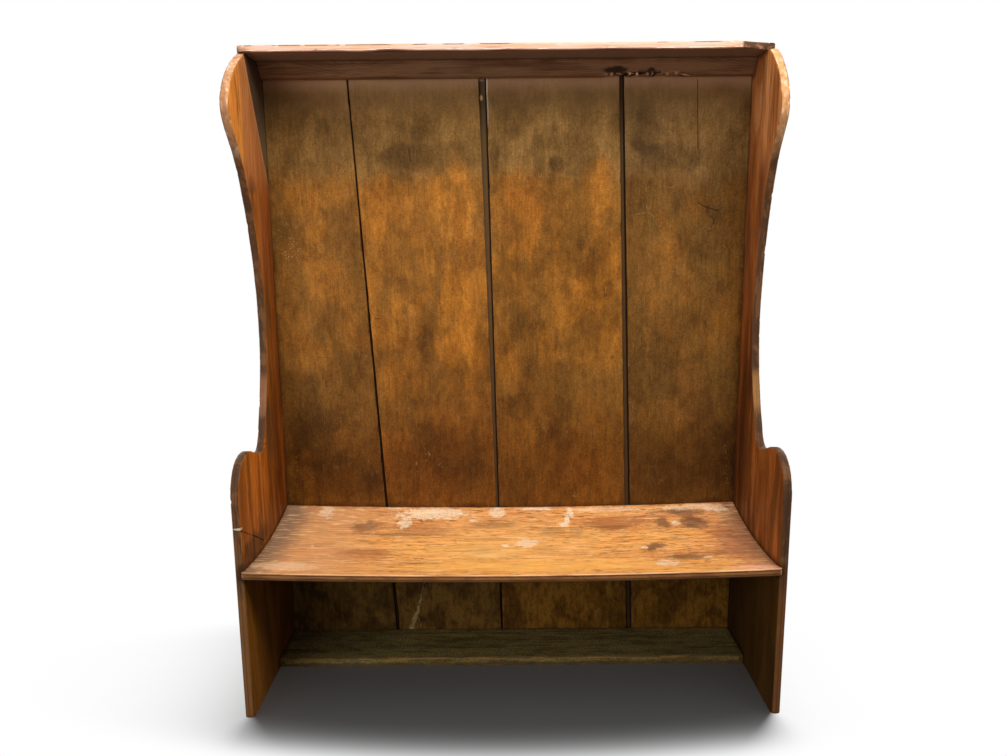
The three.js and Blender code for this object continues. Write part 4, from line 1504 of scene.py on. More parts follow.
# %% Loft the seat
def lofted_seat():
    straight = np.linspace(-1, 1, round(2 * (SEAT_HALF - CORNER) / STEP_ALONG)) * (SEAT_HALF - CORNER)
    turns = [math.radians(a) for a in (12, 25, 38, 51, 64, 77, 90)]
    stations = [(-SEAT_HALF + CORNER * (1 - math.sin(t)), t) for t in reversed(turns)]
    stations += [(x, 0.0) for x in straight]
    stations += [(SEAT_HALF - CORNER * (1 - math.sin(t)), t) for t in turns]
    build = bmesh.new()
    rows = []
    for x, turn in stations:
        points, columns = seat_section(x, turn)
        rows.append([build.verts.new(point) for point in points])
    join_rows(build, rows)
    for row in (rows[0], rows[-1]):
        top_start = columns + len(NOSE)
        top_end = top_start + columns - 1
        for i in range(columns - 1):
            build.faces.new((row[i], row[i + 1], row[top_end - 1 - i], row[top_end - i]))
        build.faces.new(row[columns - 1 : top_start + 1])
        build.faces.new((row[0], *reversed(row[top_end:])))
    return built_mesh(build, "seat")


# %% [markdown]
# ### The seat's finish
# Sitting has polished the seat to a clear honey colour, palest along the front where thighs rub,
# and dull pinkish grey at the two ends where nobody sits. The grain runs along the bench, in long
# light and dark dashes. The scrapes and the whitish patch are placed one by one.
# Some of the paleness along the front, and at its two corners, is painted light and highlights.

# %% Lay the seat's colours
wood = Finish("seat_wood", "x", "y", "z", 21, face=SEAT_TOP, shine=0.22)
SEAT_KNOTS = ((0.382, 0.126, 0.010), (0.541, 0.122, 0.014), (0.386, -0.051, 0.009), (0.44, -0.10, 0.006))
for x, y, size in SEAT_KNOTS:
    wood.knot((x, y, SEAT_TOP), size)
wood.figure(
    paint(246, 174, 98), paint(210, 130, 64), pith_depth=0.05, pith_shift=0.05, wander=0.9, ring_width=0.007,
    contrast=0.45,
)
wood.lay(wood.blotches((9, 9, 2.4), cover=0.5, softness=0.14), paint(254, 182, 94), 0.7, rough=0.34)
wood.lay(wood.blotches((16, 16, 4.5), cover=0.42, fray=0.2), paint(210, 136, 78), 0.55)
wood.lay(wood.past("y", 0.02, 0.16, wavy=0.04), paint(220, 150, 94), 0.45)
wood.lay(wood.past("x", -0.28, -0.52, wavy=0.08), paint(214, 150, 100), 0.75, rough=0.5)
wood.lay(wood.past("x", -0.575, -0.66, wavy=0.03), paint(136, 106, 84), 0.9, rough=0.6)
wood.lay(wood.past("x", 0.45, 0.66, wavy=0.06), paint(212, 138, 86), 0.6, rough=0.5)
wood.lay(wood.past("x", 0.60, 0.67, wavy=0.03), paint(166, 122, 94), 0.7, rough=0.6)
inside = wood.past("x", -0.52, -0.3, wavy=0.06)
ticks = wood.blotches((160, 160, 38), cover=0.32, softness=0.05, fray=0.2)
wood.lay(wood.both(ticks, inside), paint(132, 76, 34), 0.7)
pale_ticks = wood.blotches((120, 120, 22), cover=0.34, softness=0.07, fray=0.2)
wood.lay(pale_ticks, paint(255, 214, 150), 0.45)
drawn_out = wood.blotches((60, 60, 7), cover=0.42, fray=0.2)
wood.stain(wood.both(drawn_out, inside), (0.74, 0.6, 0.46, 1), 0.6)

# %% Place smudges and flakes
SMUDGE = paint(122, 82, 56)
BROWN = paint(176, 108, 62)
WHITISH = paint(250, 224, 190)
# Each smudge is a place, a reach, a colour and a strength.
SEAT_SMUDGES_AND_LIGHT = (
    ((-0.423, 0.095), (0.04, 0.036), SMUDGE, 0.65), ((-0.30, 0.057), (0.14, 0.007), SMUDGE, 0.7),
    ((-0.247, 0.085), (0.09, 0.025), BROWN, 0.7), ((-0.06, 0.11), (0.065, 0.02), SMUDGE, 0.6),
    ((-0.06, 0.028), (0.075, 0.008), SMUDGE, 0.6), ((-0.398, -0.062), (0.07, 0.028), BROWN, 0.7),
    ((-0.239, -0.131), (0.058, 0.008), SMUDGE, 0.75), ((-0.06, -0.12), (0.06, 0.012), BROWN, 0.7),
    ((-0.10, -0.045), (0.06, 0.007), SMUDGE, 0.6), ((0.122, 0.073), (0.04, 0.024), SMUDGE, 0.65),
    ((0.187, 0.063), (0.02, 0.036), SMUDGE, 0.45), ((0.096, -0.032), (0.045, 0.016), SMUDGE, 0.5),
    ((0.304, 0.108), (0.08, 0.04), BROWN, 0.75), ((0.29, 0.09), (0.05, 0.012), SMUDGE, 0.5),
    ((0.445, 0.111), (0.022, 0.026), SMUDGE, 0.8), ((0.539, 0.104), (0.042, 0.032), SMUDGE, 0.8),
    ((0.47, 0.17), (0.05, 0.012), SMUDGE, 0.5), ((0.53, 0.165), (0.05, 0.02), SMUDGE, 0.75),
    ((0.40, -0.028), (0.03, 0.018), SMUDGE, 0.85), ((0.47, -0.11), (0.055, 0.022), SMUDGE, 0.7),
    ((0.585, -0.09), (0.06, 0.02), SMUDGE, 0.35),
    # Pale patches at the front corners: partly wear and partly painted highlights on the rounded corners
    ((-0.59, -0.167), (0.08, 0.03), paint(250, 204, 158), 0.7),
    ((0.619, -0.205), (0.06, 0.02), paint(250, 184, 150), 0.7),
    # Bright patches along the middle of the front: partly wear and partly a painted pool of light
    ((0.06, -0.15), (0.3, 0.05), paint(255, 186, 94), 0.7),
    ((-0.02, -0.01), (0.25, 0.12), paint(255, 192, 112), 0.35),
    ((-0.07, -0.06), (0.09, 0.03), paint(255, 200, 120), 0.5),
    ((0.615, -0.03), (0.045, 0.12), paint(170, 110, 78), 0.55),
)
# Flakes are what is left of spilled paint, so they are crisp and break up into specks.
SEAT_FLAKES = (
    ((-0.236, 0.178), (0.095, 0.03), 0.8), ((-0.312, 0.125), (0.018, 0.03), 0.75),
    ((-0.553, 0.18), (0.02, 0.03), 0.55), ((-0.04, 0.18), (0.022, 0.026), 0.7),
    ((-0.112, 0.138), (0.012, 0.008), 0.85), ((-0.017, -0.013), (0.011, 0.009), 0.85),
    ((-0.352, 0.203), (0.024, 0.005), 0.7), ((0.088, 0.2), (0.052, 0.007), 0.9),
    ((0.181, 0.175), (0.009, 0.024), 0.85), ((0.168, 0.14), (0.008, 0.022), 0.85),
    ((0.155, 0.11), (0.016, 0.01), 0.85), ((0.044, 0.004), (0.03, 0.026), 0.6),
    ((0.483, 0.104), (0.012, 0.011), 0.65), ((0.622, 0.175), (0.036, 0.014), 0.6),
    ((0.367, -0.035), (0.01, 0.009), 0.7), ((0.407, -0.15), (0.028, 0.026), 0.55),
    ((0.524, -0.117), (0.012, 0.006), 0.7), ((0.29, 0.19), (0.1, 0.014), 0.35),
    ((0.55, 0.19), (0.09, 0.014), 0.4), ((-0.55, -0.02), (0.004, 0.004), 0.9),
    ((-0.32, 0.096), (0.005, 0.005), 0.95),
)
for place, reach, colour, strength in SEAT_SMUDGES_AND_LIGHT:
    mask = wood.mark((*place, SEAT_TOP), (*reach, 0.08), ragged=2.0, softness=0.5, noise_scale=48)
    wood.lay(mask, colour, strength)
chips = ease(wood.tree, noise(wood.tree, wood.place, scale=260.0, detail=3.0, roughness=0.6), 0.42, 0.56)
for place, reach, strength in SEAT_FLAKES:
    mask = wood.mark((*place, SEAT_TOP), (*reach, 0.08), ragged=2.8, softness=0.3, noise_scale=75)
    wood.lay(mask, WHITISH, strength * 0.5)
    wood.lay(wood.both(mask, chips), WHITISH, strength, rough=0.7)

# %% [markdown]
# ### The seat's edge and shape
# The front edge is darker than the top, and darkest low down and in the quirk. The bead is worn
# pale, with a painted highlight along it. The mesh carries a number for each of these places,
# measured from how far a point lies below the top, because the moulding is too small to find by
# place alone.

# %% Finish the seat's edge
wood.grain_lines(0.35)
wood.hair(0.7)
seat_rim = wood.past("y", SEAT_FRONT + 3.5 * MM, SEAT_FRONT + 1.5 * MM)
wood.lay(seat_rim, paint(136, 86, 40), 0.92, rough=0.55)
wood.lay(wood.both(seat_rim, wood.measured("fascia")), paint(92, 56, 24), 0.9)
rim_patches = wood.blotches((40, 40, 16), cover=0.46, fray=0.4)
wood.stain(wood.both(seat_rim, rim_patches), (0.56, 0.48, 0.38, 1), 0.75)
# Along the bead the pale is partly wear and partly a painted highlight
worn_bead_and_highlight = wood.blotches((60, 60, 10), cover=0.62, softness=0.2, fray=0.5)
wood.lay(wood.both(worn_bead_and_highlight, wood.measured("bead")), paint(252, 196, 144), 0.75)
wood.stain(wood.measured("quirk"), (0.3, 0.22, 0.16, 1), 0.8, rough=0.8)
# Dirt and painted shade darken the seat near the other boards
wood.stain(wood.corner_dirt_and_shade(0.36), (0.55, 0.46, 0.4, 1), 0.7, rough=0.7)
wood.lay(wood.specks(13 * MM, 0.09, 0.25), paint(110, 64, 34), 0.5)
wood.lay(wood.measured("under"), paint(84, 60, 36), 0.85, rough=0.85)
wood.nail_rust()
seat_material = wood.close()

# %% Shape the seat
seat = Board("seat", "seat_board", lofted_seat())
seat.warp(0.5 * MM, (0.35, 0.07, 0.3), 2100)
seat.wear_arrises(0.7 * MM, 60 * MM, 2101)
seat.nick_arrises(1.2 * MM, 14 * MM, 0.4, 2102)
SEAT_DENTS = 46
dice = np.random.default_rng(2103)
for i in range(SEAT_DENTS):
    x = dice.uniform(-0.62, 0.62)
    y = dice.uniform(-0.2, 0.18)
    size = dice.uniform(5, 13) * MM
    depth = dice.uniform(0.2, 0.6) * MM
    seat.dent((x, y, seat_height_at(x, y, True)), (size * 1.5, size, size), depth, 2110 + i)
# What the finish has to know of the moulding: how far each point lies below the seat's top
tops = np.array([seat_height_at(x, y, True) for x, y, z in seat.points])
below = tops - seat.points[:, 2]
inward = seat.points[:, 1] - SEAT_FRONT
bead = 1 - fade(np.abs(below - 0.6 * MM), 0.8 * MM, 1.8 * MM)
quirk = 1 - fade(np.abs(below - QUIRK_LEVEL), 0.5 * MM, 1.3 * MM)
seat.write("bead", bead * (1 - fade(inward, 3 * MM, 6 * MM)))
seat.write("fascia", fade(below, 10 * MM, 14 * MM))
seat.write("quirk", quirk * (1 - fade(inward, 3 * MM, 5 * MM)))
seat.write("under", fade(below, 15 * MM, 19 * MM) * fade(inward, 2 * MM, 5 * MM))
seat.finish(seat_material, "seat_wood")

# %% [markdown]
# ## The bottom board
# A board lies on the floor between the ends. Feet have kicked its front edge ragged and brown, and
# mops have left the rest a dark grey-green.

# %% Make the bottom board
bottom_low, bottom_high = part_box("bottom_board")
wood = Finish("bottom_wood", "x", "y", "z", 31, face=bottom_high.z, shine=0.1)
wood.figure(paint(152, 134, 80), paint(110, 95, 56), 0.08, 0.25, pith_shift=0.1, ring_width=0.006)
wood.stain(wood.blotches((16, 16, 3), cover=0.4, fray=0.6), (0.6, 0.57, 0.48, 1), 0.6)
wood.lay(wood.blotches((120, 90, 8), cover=0.3, softness=0.05, fray=0.8), paint(160, 146, 104), 0.4)
wood.lay(wood.blotches((30, 30, 20), cover=0.36, fray=0.4), paint(124, 122, 88), 0.5)
wood.stain(wood.blotches((50, 45, 12), cover=0.42, softness=0.08, fray=0.5), (0.56, 0.52, 0.42, 1), 0.8)
grit = noise(wood.tree, wood.place, scale=190.0, detail=4.0, roughness=0.75)
wood.stain(ease(wood.tree, grit, 0.46, 0.6), (0.4, 0.36, 0.3, 1), 0.85)
wood.stain(ease(wood.tree, grit, 0.45, 0.32), (1.8, 1.7, 1.5, 1), 0.85)
wood.lay(wood.scratches((40, 40, 6), 0.008), paint(150, 136, 98), 0.45)
wood.lay(wood.specks(16 * MM, 0.12, 0.12), paint(190, 178, 140), 0.6)
wood.grain_lines(0.6)
front_arris = wood.both(
    wood.past("y", bottom_low.y + 7 * MM, bottom_low.y + 2 * MM, wavy=0.001),
    wood.past("z", bottom_high.z - 6 * MM, bottom_high.z - 2 * MM),
)
wood.lay(wood.both(wood.measured("rim"), wood.edge_wear(0.7, 0.8, 32)), paint(92, 68, 36), 0.75)
wood.lay(wood.edge_wear(0.2, 0.7, 26), paint(168, 116, 64), 0.6, rough=0.7)
wood.lay(front_arris, paint(150, 108, 58), 0.6, rough=0.7)
kicked = wood.blotches((40, 40, 13), cover=0.46, softness=0.08)
wood.lay(wood.both(front_arris, kicked), paint(206, 146, 82), 0.75)
# Dirt and painted shade darken the bottom board near the other boards
wood.stain(wood.corner_dirt_and_shade(0.4), (0.5, 0.45, 0.38, 1), 0.8, rough=0.9)
wood.nail_rust()
bottom_material = wood.close()
bottom = make_board("bottom_board_worn", "bottom_board", cell=3.8 * MM, bevel=1.6 * MM, seed=3100)
bottom.nick_arrises(3.0 * MM, 30 * MM, 0.5, 3103)
bottom.nick_arrises(1.6 * MM, 8 * MM, 0.6, 3104)
bottom.finish(bottom_material, "bottom_wood")

# %% [markdown]
# ## The top rail
# The rail carries the heads of the planks. It is dark from smoke and dust, and its lower edge has
# torn away in splinters to the right of the middle. The torn edge is pushed up into the rail, and
# a few thin slivers that still hang on are added as small wedges.

# %% The rail's finish
rail_low, rail_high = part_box("top_rail")
wood = Finish("rail_wood", "x", "z", "y", 41, face=rail_low.y, shine=0.12)
wood.figure(paint(138, 103, 74), paint(108, 78, 54), 0.07, pith_shift=1.69, wander=0.8, ring_width=0.004)
wood.lay(wood.blotches((40, 40, 4), cover=0.34, softness=0.08, fray=0.8), paint(146, 98, 64), 0.5)
wood.stain(wood.blotches((22, 22, 3), cover=0.36, fray=0.5), (0.5, 0.42, 0.38, 1), 0.7)
TORN_FROM = 0.265
TORN_TO = 0.501
TORN_MIDDLE = (TORN_FROM + TORN_TO) / 2
RAIL_THICK = 26 * MM
rail_front = rail_high.y - RAIL_THICK
# Hollows and slivers of the torn edge, in metres across and up
HOLLOWS = (
    ((0.298, 1.684), (0.034, 0.009)),
    ((0.394, 1.680), (0.013, 0.008)),
    ((0.345, 1.675), (0.03, 0.004)),
)
SLIVERS = (
    ((0.262, 1.684), (0.267, 1.679), (0.282, 1.677), (0.296, 1.678), (0.315, 1.673)),
    ((0.317, 1.685), (0.324, 1.682), (0.335, 1.677), (0.349, 1.675)),
    ((0.381, 1.672), (0.384, 1.679), (0.394, 1.683), (0.402, 1.682)),
    ((0.4, 1.684), (0.414, 1.681), (0.427, 1.681), (0.437, 1.674)),
    ((0.474, 1.673), (0.486, 1.672), (0.502, 1.668)),
)
sliver_lines = [[(x, rail_front, z) for x, z in line] for line in SLIVERS]
torn = ((TORN_MIDDLE, rail_front, rail_low.z), (0.125, 0.04, 0.008))
torn = wood.mark(*torn, ragged=1.0, softness=0.4, noise_scale=120)
wood.grain_lines(0.9)
wood.lay(torn, paint(168, 120, 82), 0.45, rough=0.75)
wood.lay(wood.edge_wear(0.1, 0.5, 40), paint(128, 88, 58), 0.4)
wood.lay(wood.specks(14 * MM, 0.12, 0.08), paint(186, 148, 112), 0.7)
# Painted shade: the hollows of the torn edge are laid near black, as the shade inside them
for (x, z), (wide, tall) in HOLLOWS:
    hole = wood.mark((x, rail_front, z), (wide, 0.04, tall), ragged=0.9, noise_scale=90)
    wood.lay(hole, paint(30, 19, 12), 0.85, rough=0.9)
wood.breaks(fresh=paint(226, 180, 140))
# Dirt and painted shade darken the rail near the other boards
wood.stain(wood.corner_dirt_and_shade(0.3), (0.5, 0.42, 0.36, 1), 0.7, rough=0.8)
wood.nail_rust()
rail_material = wood.close()

# %% Tear the rail's edge
TORN_HIGH = 9 * MM
TORN_DEEP = 5.5 * MM
torn_line = ((TORN_FROM, rail_front, rail_low.z), (TORN_TO, rail_front, rail_low.z))
rail = make_board("top_rail_worn", "top_rail", cell=2.6 * MM, bevel=1.0 * MM, lines=(torn_line,), seed=4100)
along = rail.points[:, 0]
within = fade(along, TORN_FROM - 0.01, TORN_FROM + 0.03) * (1 - fade(along, TORN_TO - 0.04, TORN_TO + 0.01))
teeth = 0.5 + 0.5 * bumps(rail.points * (1, 0, 0), 16 * MM, 4105)
teeth += 0.3 * bumps(rail.points * (1, 0, 0), 5 * MM, 4106)
height = (rail.points[:, 2] - rail_low.z) / TORN_HIGH
rail.shift[:, 2] += within * TORN_DEEP * np.clip(teeth, 0.05, 1.2) * np.clip(1 - height, 0, 1)
slivers = fade(bumps(rail.points * (1, 0, 1), 7 * MM, 4108), 0.35, 0.6) * np.clip(1.2 - height, 0, 1)
rail.torn = np.maximum(rail.torn, within * slivers)
# The hollows along the torn edge count as cracks, so they are painted dark as the shade inside them, and sunk
hollows = fade(bumps(rail.points * (1, 0, 1), 13 * MM, 4109), 0.1, 0.35) * np.clip(1.2 - height / 1.5, 0, 1)
rail.crack = np.maximum(rail.crack, within * hollows * (1 - rail.torn))
rail.sink += within * hollows * 2.5 * MM
for (x, z), (wide, tall) in HOLLOWS:
    rail.dent((x, rail_front, z), (wide, 12 * MM, tall), 3.5 * MM, 4107)
rail.finish(rail_material, "rail_wood")

# %% The slivers' wood
wood = Finish("sliver_wood", "x", "z", "y", 42, face=rail_front, shine=0.2)
wood.figure(paint(236, 196, 160), paint(196, 140, 96), ring_width=0.003)
wood.grain_lines(0.6)
sliver_material = wood.close()

# %% Add the slivers
# The three corners of a sliver's section, up and back, as shares of its thickness
SLIVER_SECTION = ((0, -0.7), (0.9, 0.4), (-0.9, 0.4))


def sliver(build, line, thick, lift):
    """A thin, three-sided splinter along a line. lift is how far its middle stands off."""
    line = np.array(line)
    steps = np.linspace(0, 1, 4 * len(line))
    rows = []
    for share in steps:
        at = share * (len(line) - 1)
        first = min(int(at), len(line) - 2)
        middle = line[first] + (line[first + 1] - line[first]) * (at - first)
        bulk = math.sin(math.pi * (0.06 + 0.88 * share))
        middle = middle - (0, lift * bulk, 0)
        corners = [np.array((0, deep, up)) * thick * bulk for up, deep in SLIVER_SECTION]
        rows.append([build.verts.new(middle + corner) for corner in corners])
    join_rows(build, rows)
    build.faces.new(rows[0])
    build.faces.new(rows[-1][::-1])


build = bmesh.new()
for i, line in enumerate(sliver_lines):
    sliver(build, line, 1.5 * MM, (1.5 + i % 3) * MM)
sliver_mesh = built_mesh(build, "rail_slivers")
sliver_mesh.materials.append(sliver_material)
slivers_shown = add_object("rail_slivers", sliver_mesh)
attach(slivers_shown, "root")
print("slivers:", len(sliver_lines))

# %% [markdown]
# ## The hood
# The flat board on top is worn pale along its front edge, and painted almost white there, partly
# as a highlight where it catches the light. Its lower edge is wavy with wear, and its right front
# corner broke off long ago. Underneath it stayed dark, and dust lies on top.

# %% The hood's finish
hood_low, hood_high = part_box("hood_board")
wood = Finish("hood_wood", "x", "y", "z", 51, face=hood_high.z, shine=0.12)
wood.figure(paint(120, 82, 54), paint(84, 54, 34), 0.09, pith_shift=0.15, ring_width=0.006)
wood.stain(wood.blotches((18, 18, 3), cover=0.4, fray=0.5), (0.6, 0.52, 0.46, 1), 0.7)
wood.grain_lines(0.9)
dust = wood.past("z", hood_high.z - 3 * MM, hood_high.z - 0.5 * MM)
wood.lay(dust, paint(150, 128, 104), 0.45, rough=0.9)
wood.lay(wood.past("z", hood_low.z + 3 * MM, hood_low.z + 1 * MM), paint(134, 110, 92), 0.94, rough=0.8)
BROKEN_FROM = hood_high.x - 96 * MM
unbroken = wood.past("x", BROKEN_FROM + 12 * MM, BROKEN_FROM - 2 * MM)
# The front edge: worn pale, and painted almost white, partly as a highlight where it catches the light
worn_and_lit_front = wood.both(wood.past("y", hood_low.y + 10 * MM, hood_low.y + 4 * MM), unbroken)
wood.lay(worn_and_lit_front, paint(240, 200, 176), 0.94, rough=0.6)
worn_streaks = wood.blotches((120, 120, 6), cover=0.42, fray=0.8)
wood.lay(wood.both(worn_and_lit_front, worn_streaks), paint(222, 164, 116), 0.6)
left_corner = wood.both(wood.measured("rim"), wood.past("x", hood_low.x + 60 * MM, hood_low.x + 10 * MM))
wood.lay(left_corner, paint(206, 150, 116), 0.6)
broken = wood.both(wood.measured("rim"), wood.past("x", BROKEN_FROM, BROKEN_FROM + 8 * MM))
wood.lay(broken, paint(96, 66, 46), 0.85, rough=0.85)
ragged_break = wood.both(broken, wood.blotches((60, 60, 40), cover=0.42, softness=0.08))
wood.lay(ragged_break, paint(176, 128, 98), 0.7)
# Dirt and painted shade darken the hood near the other boards
wood.stain(wood.corner_dirt_and_shade(0.5), (0.5, 0.42, 0.36, 1), 0.7, rough=0.8)
wood.nail_rust()
hood_material = wood.close()

# %% Wear the hood
# The lower edge waves by this much, and has one hump of its own.
WAVE_HIGH = 3.6 * MM
HUMP_AT = -0.301
HUMP_WIDE = 0.06
hood = make_board("hood", "hood_board", cell=3.2 * MM, bevel=1.8 * MM, seed=5100)
front = 1 - fade(hood.points[:, 1] - hood_low.y, 4 * MM, 30 * MM)
lowness = 1 - fade(hood.points[:, 2] - hood_low.z, 2 * MM, 14 * MM)
wave = 0.5 + 0.5 * bumps(hood.points * (1, 0, 0), 90 * MM, 5105)
wave += 1.2 * np.exp(-(((hood.points[:, 0] - HUMP_AT) / HUMP_WIDE) ** 2))
hood.shift[:, 2] += WAVE_HIGH * wave * front * lowness
hood.finish(hood_material, "hood_wood")

# %% [markdown]
# ## Nails
# The nails are old cut nails: a tapering square shank under a small hammered head. Each is made
# from rings of points round its own axis, a little out of true, inside the box of its CAD nail.

# %% The iron
nail_iron, tree, iron_shader = new_material("nail_iron")
iron_place = tree.nodes.new("ShaderNodeTexCoord").outputs["Object"]
rust = noise(tree, iron_place, scale=420.0, detail=4.0, roughness=0.7)
crust = noise(tree, iron_place, scale=1500.0, detail=3.0, roughness=0.7)
rusty = ease(tree, rust, 0.42, 0.6)
feed(tree, iron_shader.inputs["Base Color"], blend(tree, rusty, paint(46, 42, 40), paint(98, 56, 34)))
feed(tree, iron_shader.inputs["Metallic"], ease(tree, rust, 0.42, 0.6, 0.7, 0.05))
feed(tree, iron_shader.inputs["Roughness"], ease(tree, rust, 0.42, 0.6, 0.5, 0.9))
iron_bump = tree.nodes.new("ShaderNodeBump")
iron_bump.inputs["Distance"].default_value = 0.3 * MM
feed(tree, iron_bump.inputs["Height"], crust)
feed(tree, iron_shader.inputs["Normal"], iron_bump.outputs["Normal"])

# %% Make the nails
RING_POINTS = 16
# Depth below the head's top in millimetres, and the size as a share of the head.
NAIL_RINGS = ((0.0, 0.35), (0.05, 0.7), (0.25, 0.93), (0.7, 1.0), (1.5, 0.98), (2.1, 0.8))
SHANK_SHARE = 0.46
HEAD_DEPTH = 2.4 * MM
TAPER = 0.55
SQUARENESS = 0.45
OUT_OF_TRUE = 0.07
HEAD_SHY = 0.1 * MM
LENGTH_SHY = 0.3 * MM


def nail_mesh(name, seed):
    low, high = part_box(name)
    way = nail_way(name)
    turned = Vector((0, 0, -1)).rotation_difference(-way).to_matrix()
    sizes = [abs(v) for v in turned.inverted() @ (high - low)]
    dice = np.random.default_rng(seed)
    wobble = 1 - OUT_OF_TRUE * dice.random(RING_POINTS)
    length = sizes[2] - LENGTH_SHY
    rings = [(down * MM, share) for down, share in NAIL_RINGS]
    for along in np.linspace(0.12, 1, 8):
        down = HEAD_DEPTH + (length - HEAD_DEPTH) * along
        rings.append((down, SHANK_SHARE * (1 - TAPER * along)))
    build = bmesh.new()
    rows = []
    head = nail_heads[name] - way * HEAD_SHY
    for down, share in rings:
        row = []
        for i in range(RING_POINTS):
            angle = 2 * math.pi * i / RING_POINTS
            across = math.copysign(abs(math.cos(angle)) ** SQUARENESS, math.cos(angle))
            over = math.copysign(abs(math.sin(angle)) ** SQUARENESS, math.sin(angle))
            local = Vector((across * share * sizes[0] / 2, over * share * sizes[1] / 2, 0)) * wobble[i]
            row.append(build.verts.new(head + turned @ local - way * down))
        rows.append(row)
    join_rows(build, rows)
    for row in (rows[0], rows[-1]):
        tip = build.verts.new(sum((v.co for v in row), Vector()) / RING_POINTS)
        for i in range(RING_POINTS):
            build.faces.new((row[i], row[(i + 1) % RING_POINTS], tip))
    mesh = built_mesh(build, name)
    mesh.shade_smooth()
    mesh.materials.append(nail_iron)
    return mesh


for i, name in enumerate(NAIL_NAMES):
    nail = add_object("cut_" + name, nail_mesh(name, 6000 + i))
    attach(nail, "root")
    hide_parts(name)
print("nails made:", len(NAIL_NAMES))

# %% [markdown]
# ## Floor and light
# The bench stands on a plain pale floor in a white room. The strongest lamp hangs in front, to the
# right and above. A weaker one fills from the left, one hangs overhead, and two behind keep the back
# and the outsides from going black. All are wide, so they are soft, and they light the bench only.
# The camera sees the room as white, but the room lights the bench gently. The floor is lit by the
# room alone, so it is dark round the bench, and further out its own white takes over, as in a studio
# where the light comes up through the floor. The edge of that white is a painted shadow, shaped by sums.

# %% Floor
FLOOR_SIDE = 30.0
floor_mesh = bpy.data.meshes.new("floor")
corner = FLOOR_SIDE / 2
corners = [(x * corner, y * corner, 0) for x, y in ((-1, -1), (1, -1), (1, 1), (-1, 1))]
floor_mesh.from_pydata(corners, [], [(0, 1, 2, 3)])
floor = add_object("floor", floor_mesh)
floor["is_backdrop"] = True
floor_paint, tree, floor_shader = new_material("floor_paint")
floor_place = tree.nodes.new("ShaderNodeTexCoord").outputs["Object"]
mottle = noise(tree, floor_place, scale=3.0, detail=2.0)
feed(tree, floor_shader.inputs["Base Color"], blend(tree, mottle, paint(164, 164, 164), paint(170, 170, 170)))
floor_shader.inputs["Roughness"].default_value = 0.8
floor_shader.inputs["Specular IOR Level"].default_value = 0.1
floor_rays = tree.nodes.new("ShaderNodeLightPath").outputs
floor_seen = maths(tree, "MAXIMUM", floor_rays["Is Camera Ray"], floor_rays["Is Glossy Ray"])
floor_seen = maths(tree, "MAXIMUM", floor_seen, floor_rays["Is Transmission Ray"])

# %% [markdown]
# ### Where the floor turns white
# The shadow between the feet is painted, in a shape of its own: the floor's white is laid round it
# by sums on the floor's own coordinates, how far out to each side and how far towards the front.

# %% The floor's white, round a painted shadow
# The painted shadow is dark between the feet. At the sides it ends behind the feet, and then clears
# slowly to the left and quickly to the right. Further from the bench that end is softer. Towards the
# front it stays dark for a hand's breadth, and then clears at once.
FOOT_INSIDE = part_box("end_right")[0].x + 5 * MM
JUMP_WIDE = 16 * MM
FOOT_OUTSIDE = 0.69
JUMP_SPREAD = 0.93
FOOT_DEEP = 0.2
SIDES = ((-1.0, 0.65, 0.158), (1.0, 2.28, 0.092))
PAINTED_SHADOW_DEEP = 0.077
CLEAR_FRONT = 0.316
FRONT_POWER = 9.0
CORNER_PULL = 0.126
SHADOW_LEAST = 0.003
floor_split = tree.nodes.new("ShaderNodeSeparateXYZ")
feed(tree, floor_split.inputs[0], floor_place)
floor_x, floor_y = floor_split.outputs[:2]
out_deep = maths(tree, "ABSOLUTE", floor_y)
spread = maths(tree, "SUBTRACT", out_deep, FOOT_DEEP)
spread = maths(tree, "MULTIPLY", maths(tree, "MAXIMUM", spread, 0.0), JUMP_SPREAD)
out_of_painted_shadow = 0.0
for way, jump, clear in SIDES:
    out = maths(tree, "MULTIPLY", floor_x, way)
    begin = maths(tree, "SUBTRACT", FOOT_INSIDE, spread)
    finish = maths(tree, "ADD", FOOT_INSIDE + JUMP_WIDE, spread)
    step = ease(tree, out, begin, finish, 0.0, jump)
    slope = maths(tree, "MAXIMUM", maths(tree, "SUBTRACT", out, FOOT_OUTSIDE), 0.0)
    step = maths(tree, "ADD", step, maths(tree, "DIVIDE", slope, clear))
    out_of_painted_shadow = maths(tree, "ADD", out_of_painted_shadow, step)
square_x = maths(tree, "MULTIPLY", floor_x, floor_x)
forward_of = maths(tree, "MULTIPLY_ADD", square_x, CORNER_PULL, out_deep)
past_front = maths(tree, "DIVIDE", maths(tree, "SUBTRACT", forward_of, PAINTED_SHADOW_DEEP), CLEAR_FRONT)
past_front = maths(tree, "POWER", maths(tree, "MAXIMUM", past_front, 0.0), FRONT_POWER)
out_of_painted_shadow = maths(tree, "ADD", out_of_painted_shadow, past_front)
away = maths(tree, "EXPONENT", maths(tree, "MULTIPLY", out_of_painted_shadow, -1.0))
away = maths(tree, "MAXIMUM", maths(tree, "SUBTRACT", 1.0, away), SHADOW_LEAST)
white = tree.nodes.new("ShaderNodeEmission")
white.inputs["Strength"].default_value = 1.0
either = tree.nodes.new("ShaderNodeMixShader")
feed(tree, either.inputs[0], maths(tree, "MULTIPLY", away, floor_seen))
tree.links.new(floor_shader.outputs[0], either.inputs[1])
tree.links.new(white.outputs[0], either.inputs[2])
tree.links.new(either.outputs[0], tree.nodes["Material Output"].inputs["Surface"])
floor_mesh.materials.append(floor_paint)

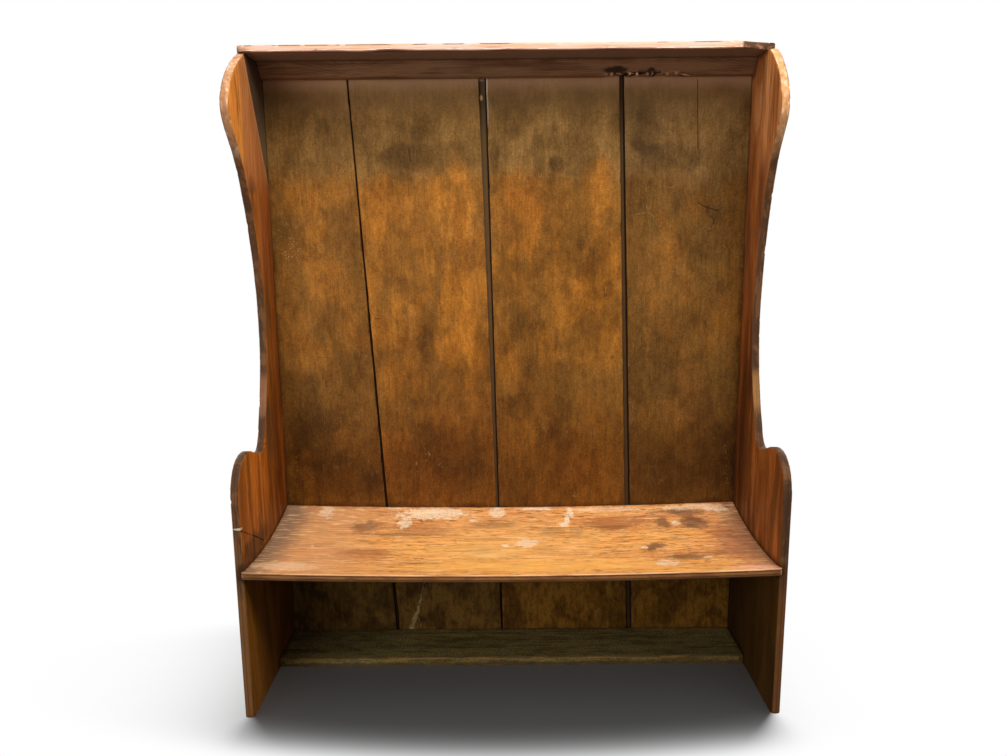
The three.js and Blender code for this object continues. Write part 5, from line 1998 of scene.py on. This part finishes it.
# %% The room
world = bpy.data.worlds.new("room")
bpy.context.scene.world = world
world.use_nodes = True
tree = world.node_tree
tree.nodes.clear()
rays = tree.nodes.new("ShaderNodeLightPath").outputs
seen = maths(tree, "MAXIMUM", rays["Is Glossy Ray"], rays["Is Transmission Ray"])
seen = maths(tree, "MAXIMUM", rays["Is Camera Ray"], seen)
room_light = tree.nodes.new("ShaderNodeBackground")
feed(tree, room_light.inputs["Strength"], ease(tree, seen, 0.0, 1.0, 0.25, 1.0))
room_light.inputs["Color"].default_value = (1, 1, 1, 1)
tree.links.new(room_light.outputs[0], tree.nodes.new("ShaderNodeOutputWorld").inputs["Surface"])

# %% The lamps
AIM = Vector((0, 0, 0.8))


def soft_lamp(name, place, size, level):
    """A square lamp that lights a surface at the aim to about `level` of its own colour."""
    lamp = bpy.data.lights.new(name, "AREA")
    lamp.shape = "SQUARE"
    lamp.size = size
    away = AIM - Vector(place)
    lamp.energy = level * math.pi**2 * away.length_squared
    holder = add_object(name, lamp)
    holder.location = place
    holder.rotation_mode = "QUATERNION"
    holder.rotation_quaternion = away.to_track_quat("-Z", "Y")
    print(name, "power in watts:", round(lamp.energy))
    return holder


key_lamp = soft_lamp("key_lamp", (1.2, -1.8, 3.4), 1.0, 0.58)
fill_lamp = soft_lamp("fill_lamp", (-2.0, -2.9, 1.4), 2.0, 0.32)
overhead_lamp = soft_lamp("overhead_lamp", (0.0, -0.9, 3.6), 1.4, 0.5)
rear_left_lamp = soft_lamp("rear_left_lamp", (-3.0, 2.4, 2.0), 2.0, 0.45)
rear_right_lamp = soft_lamp("rear_right_lamp", (3.0, 2.4, 2.0), 2.0, 0.45)
# The lamps leave the floor out, so that the bench keeps a deep, soft shadow between its feet
bench_only = bpy.data.collections.new("lit from the front")
bpy.context.scene.collection.children.link(bench_only)
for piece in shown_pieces():
    bench_only.objects.link(piece)
for lamp in (key_lamp, fill_lamp, overhead_lamp, rear_left_lamp, rear_right_lamp):
    lamp.light_linking.receiver_collection = bench_only
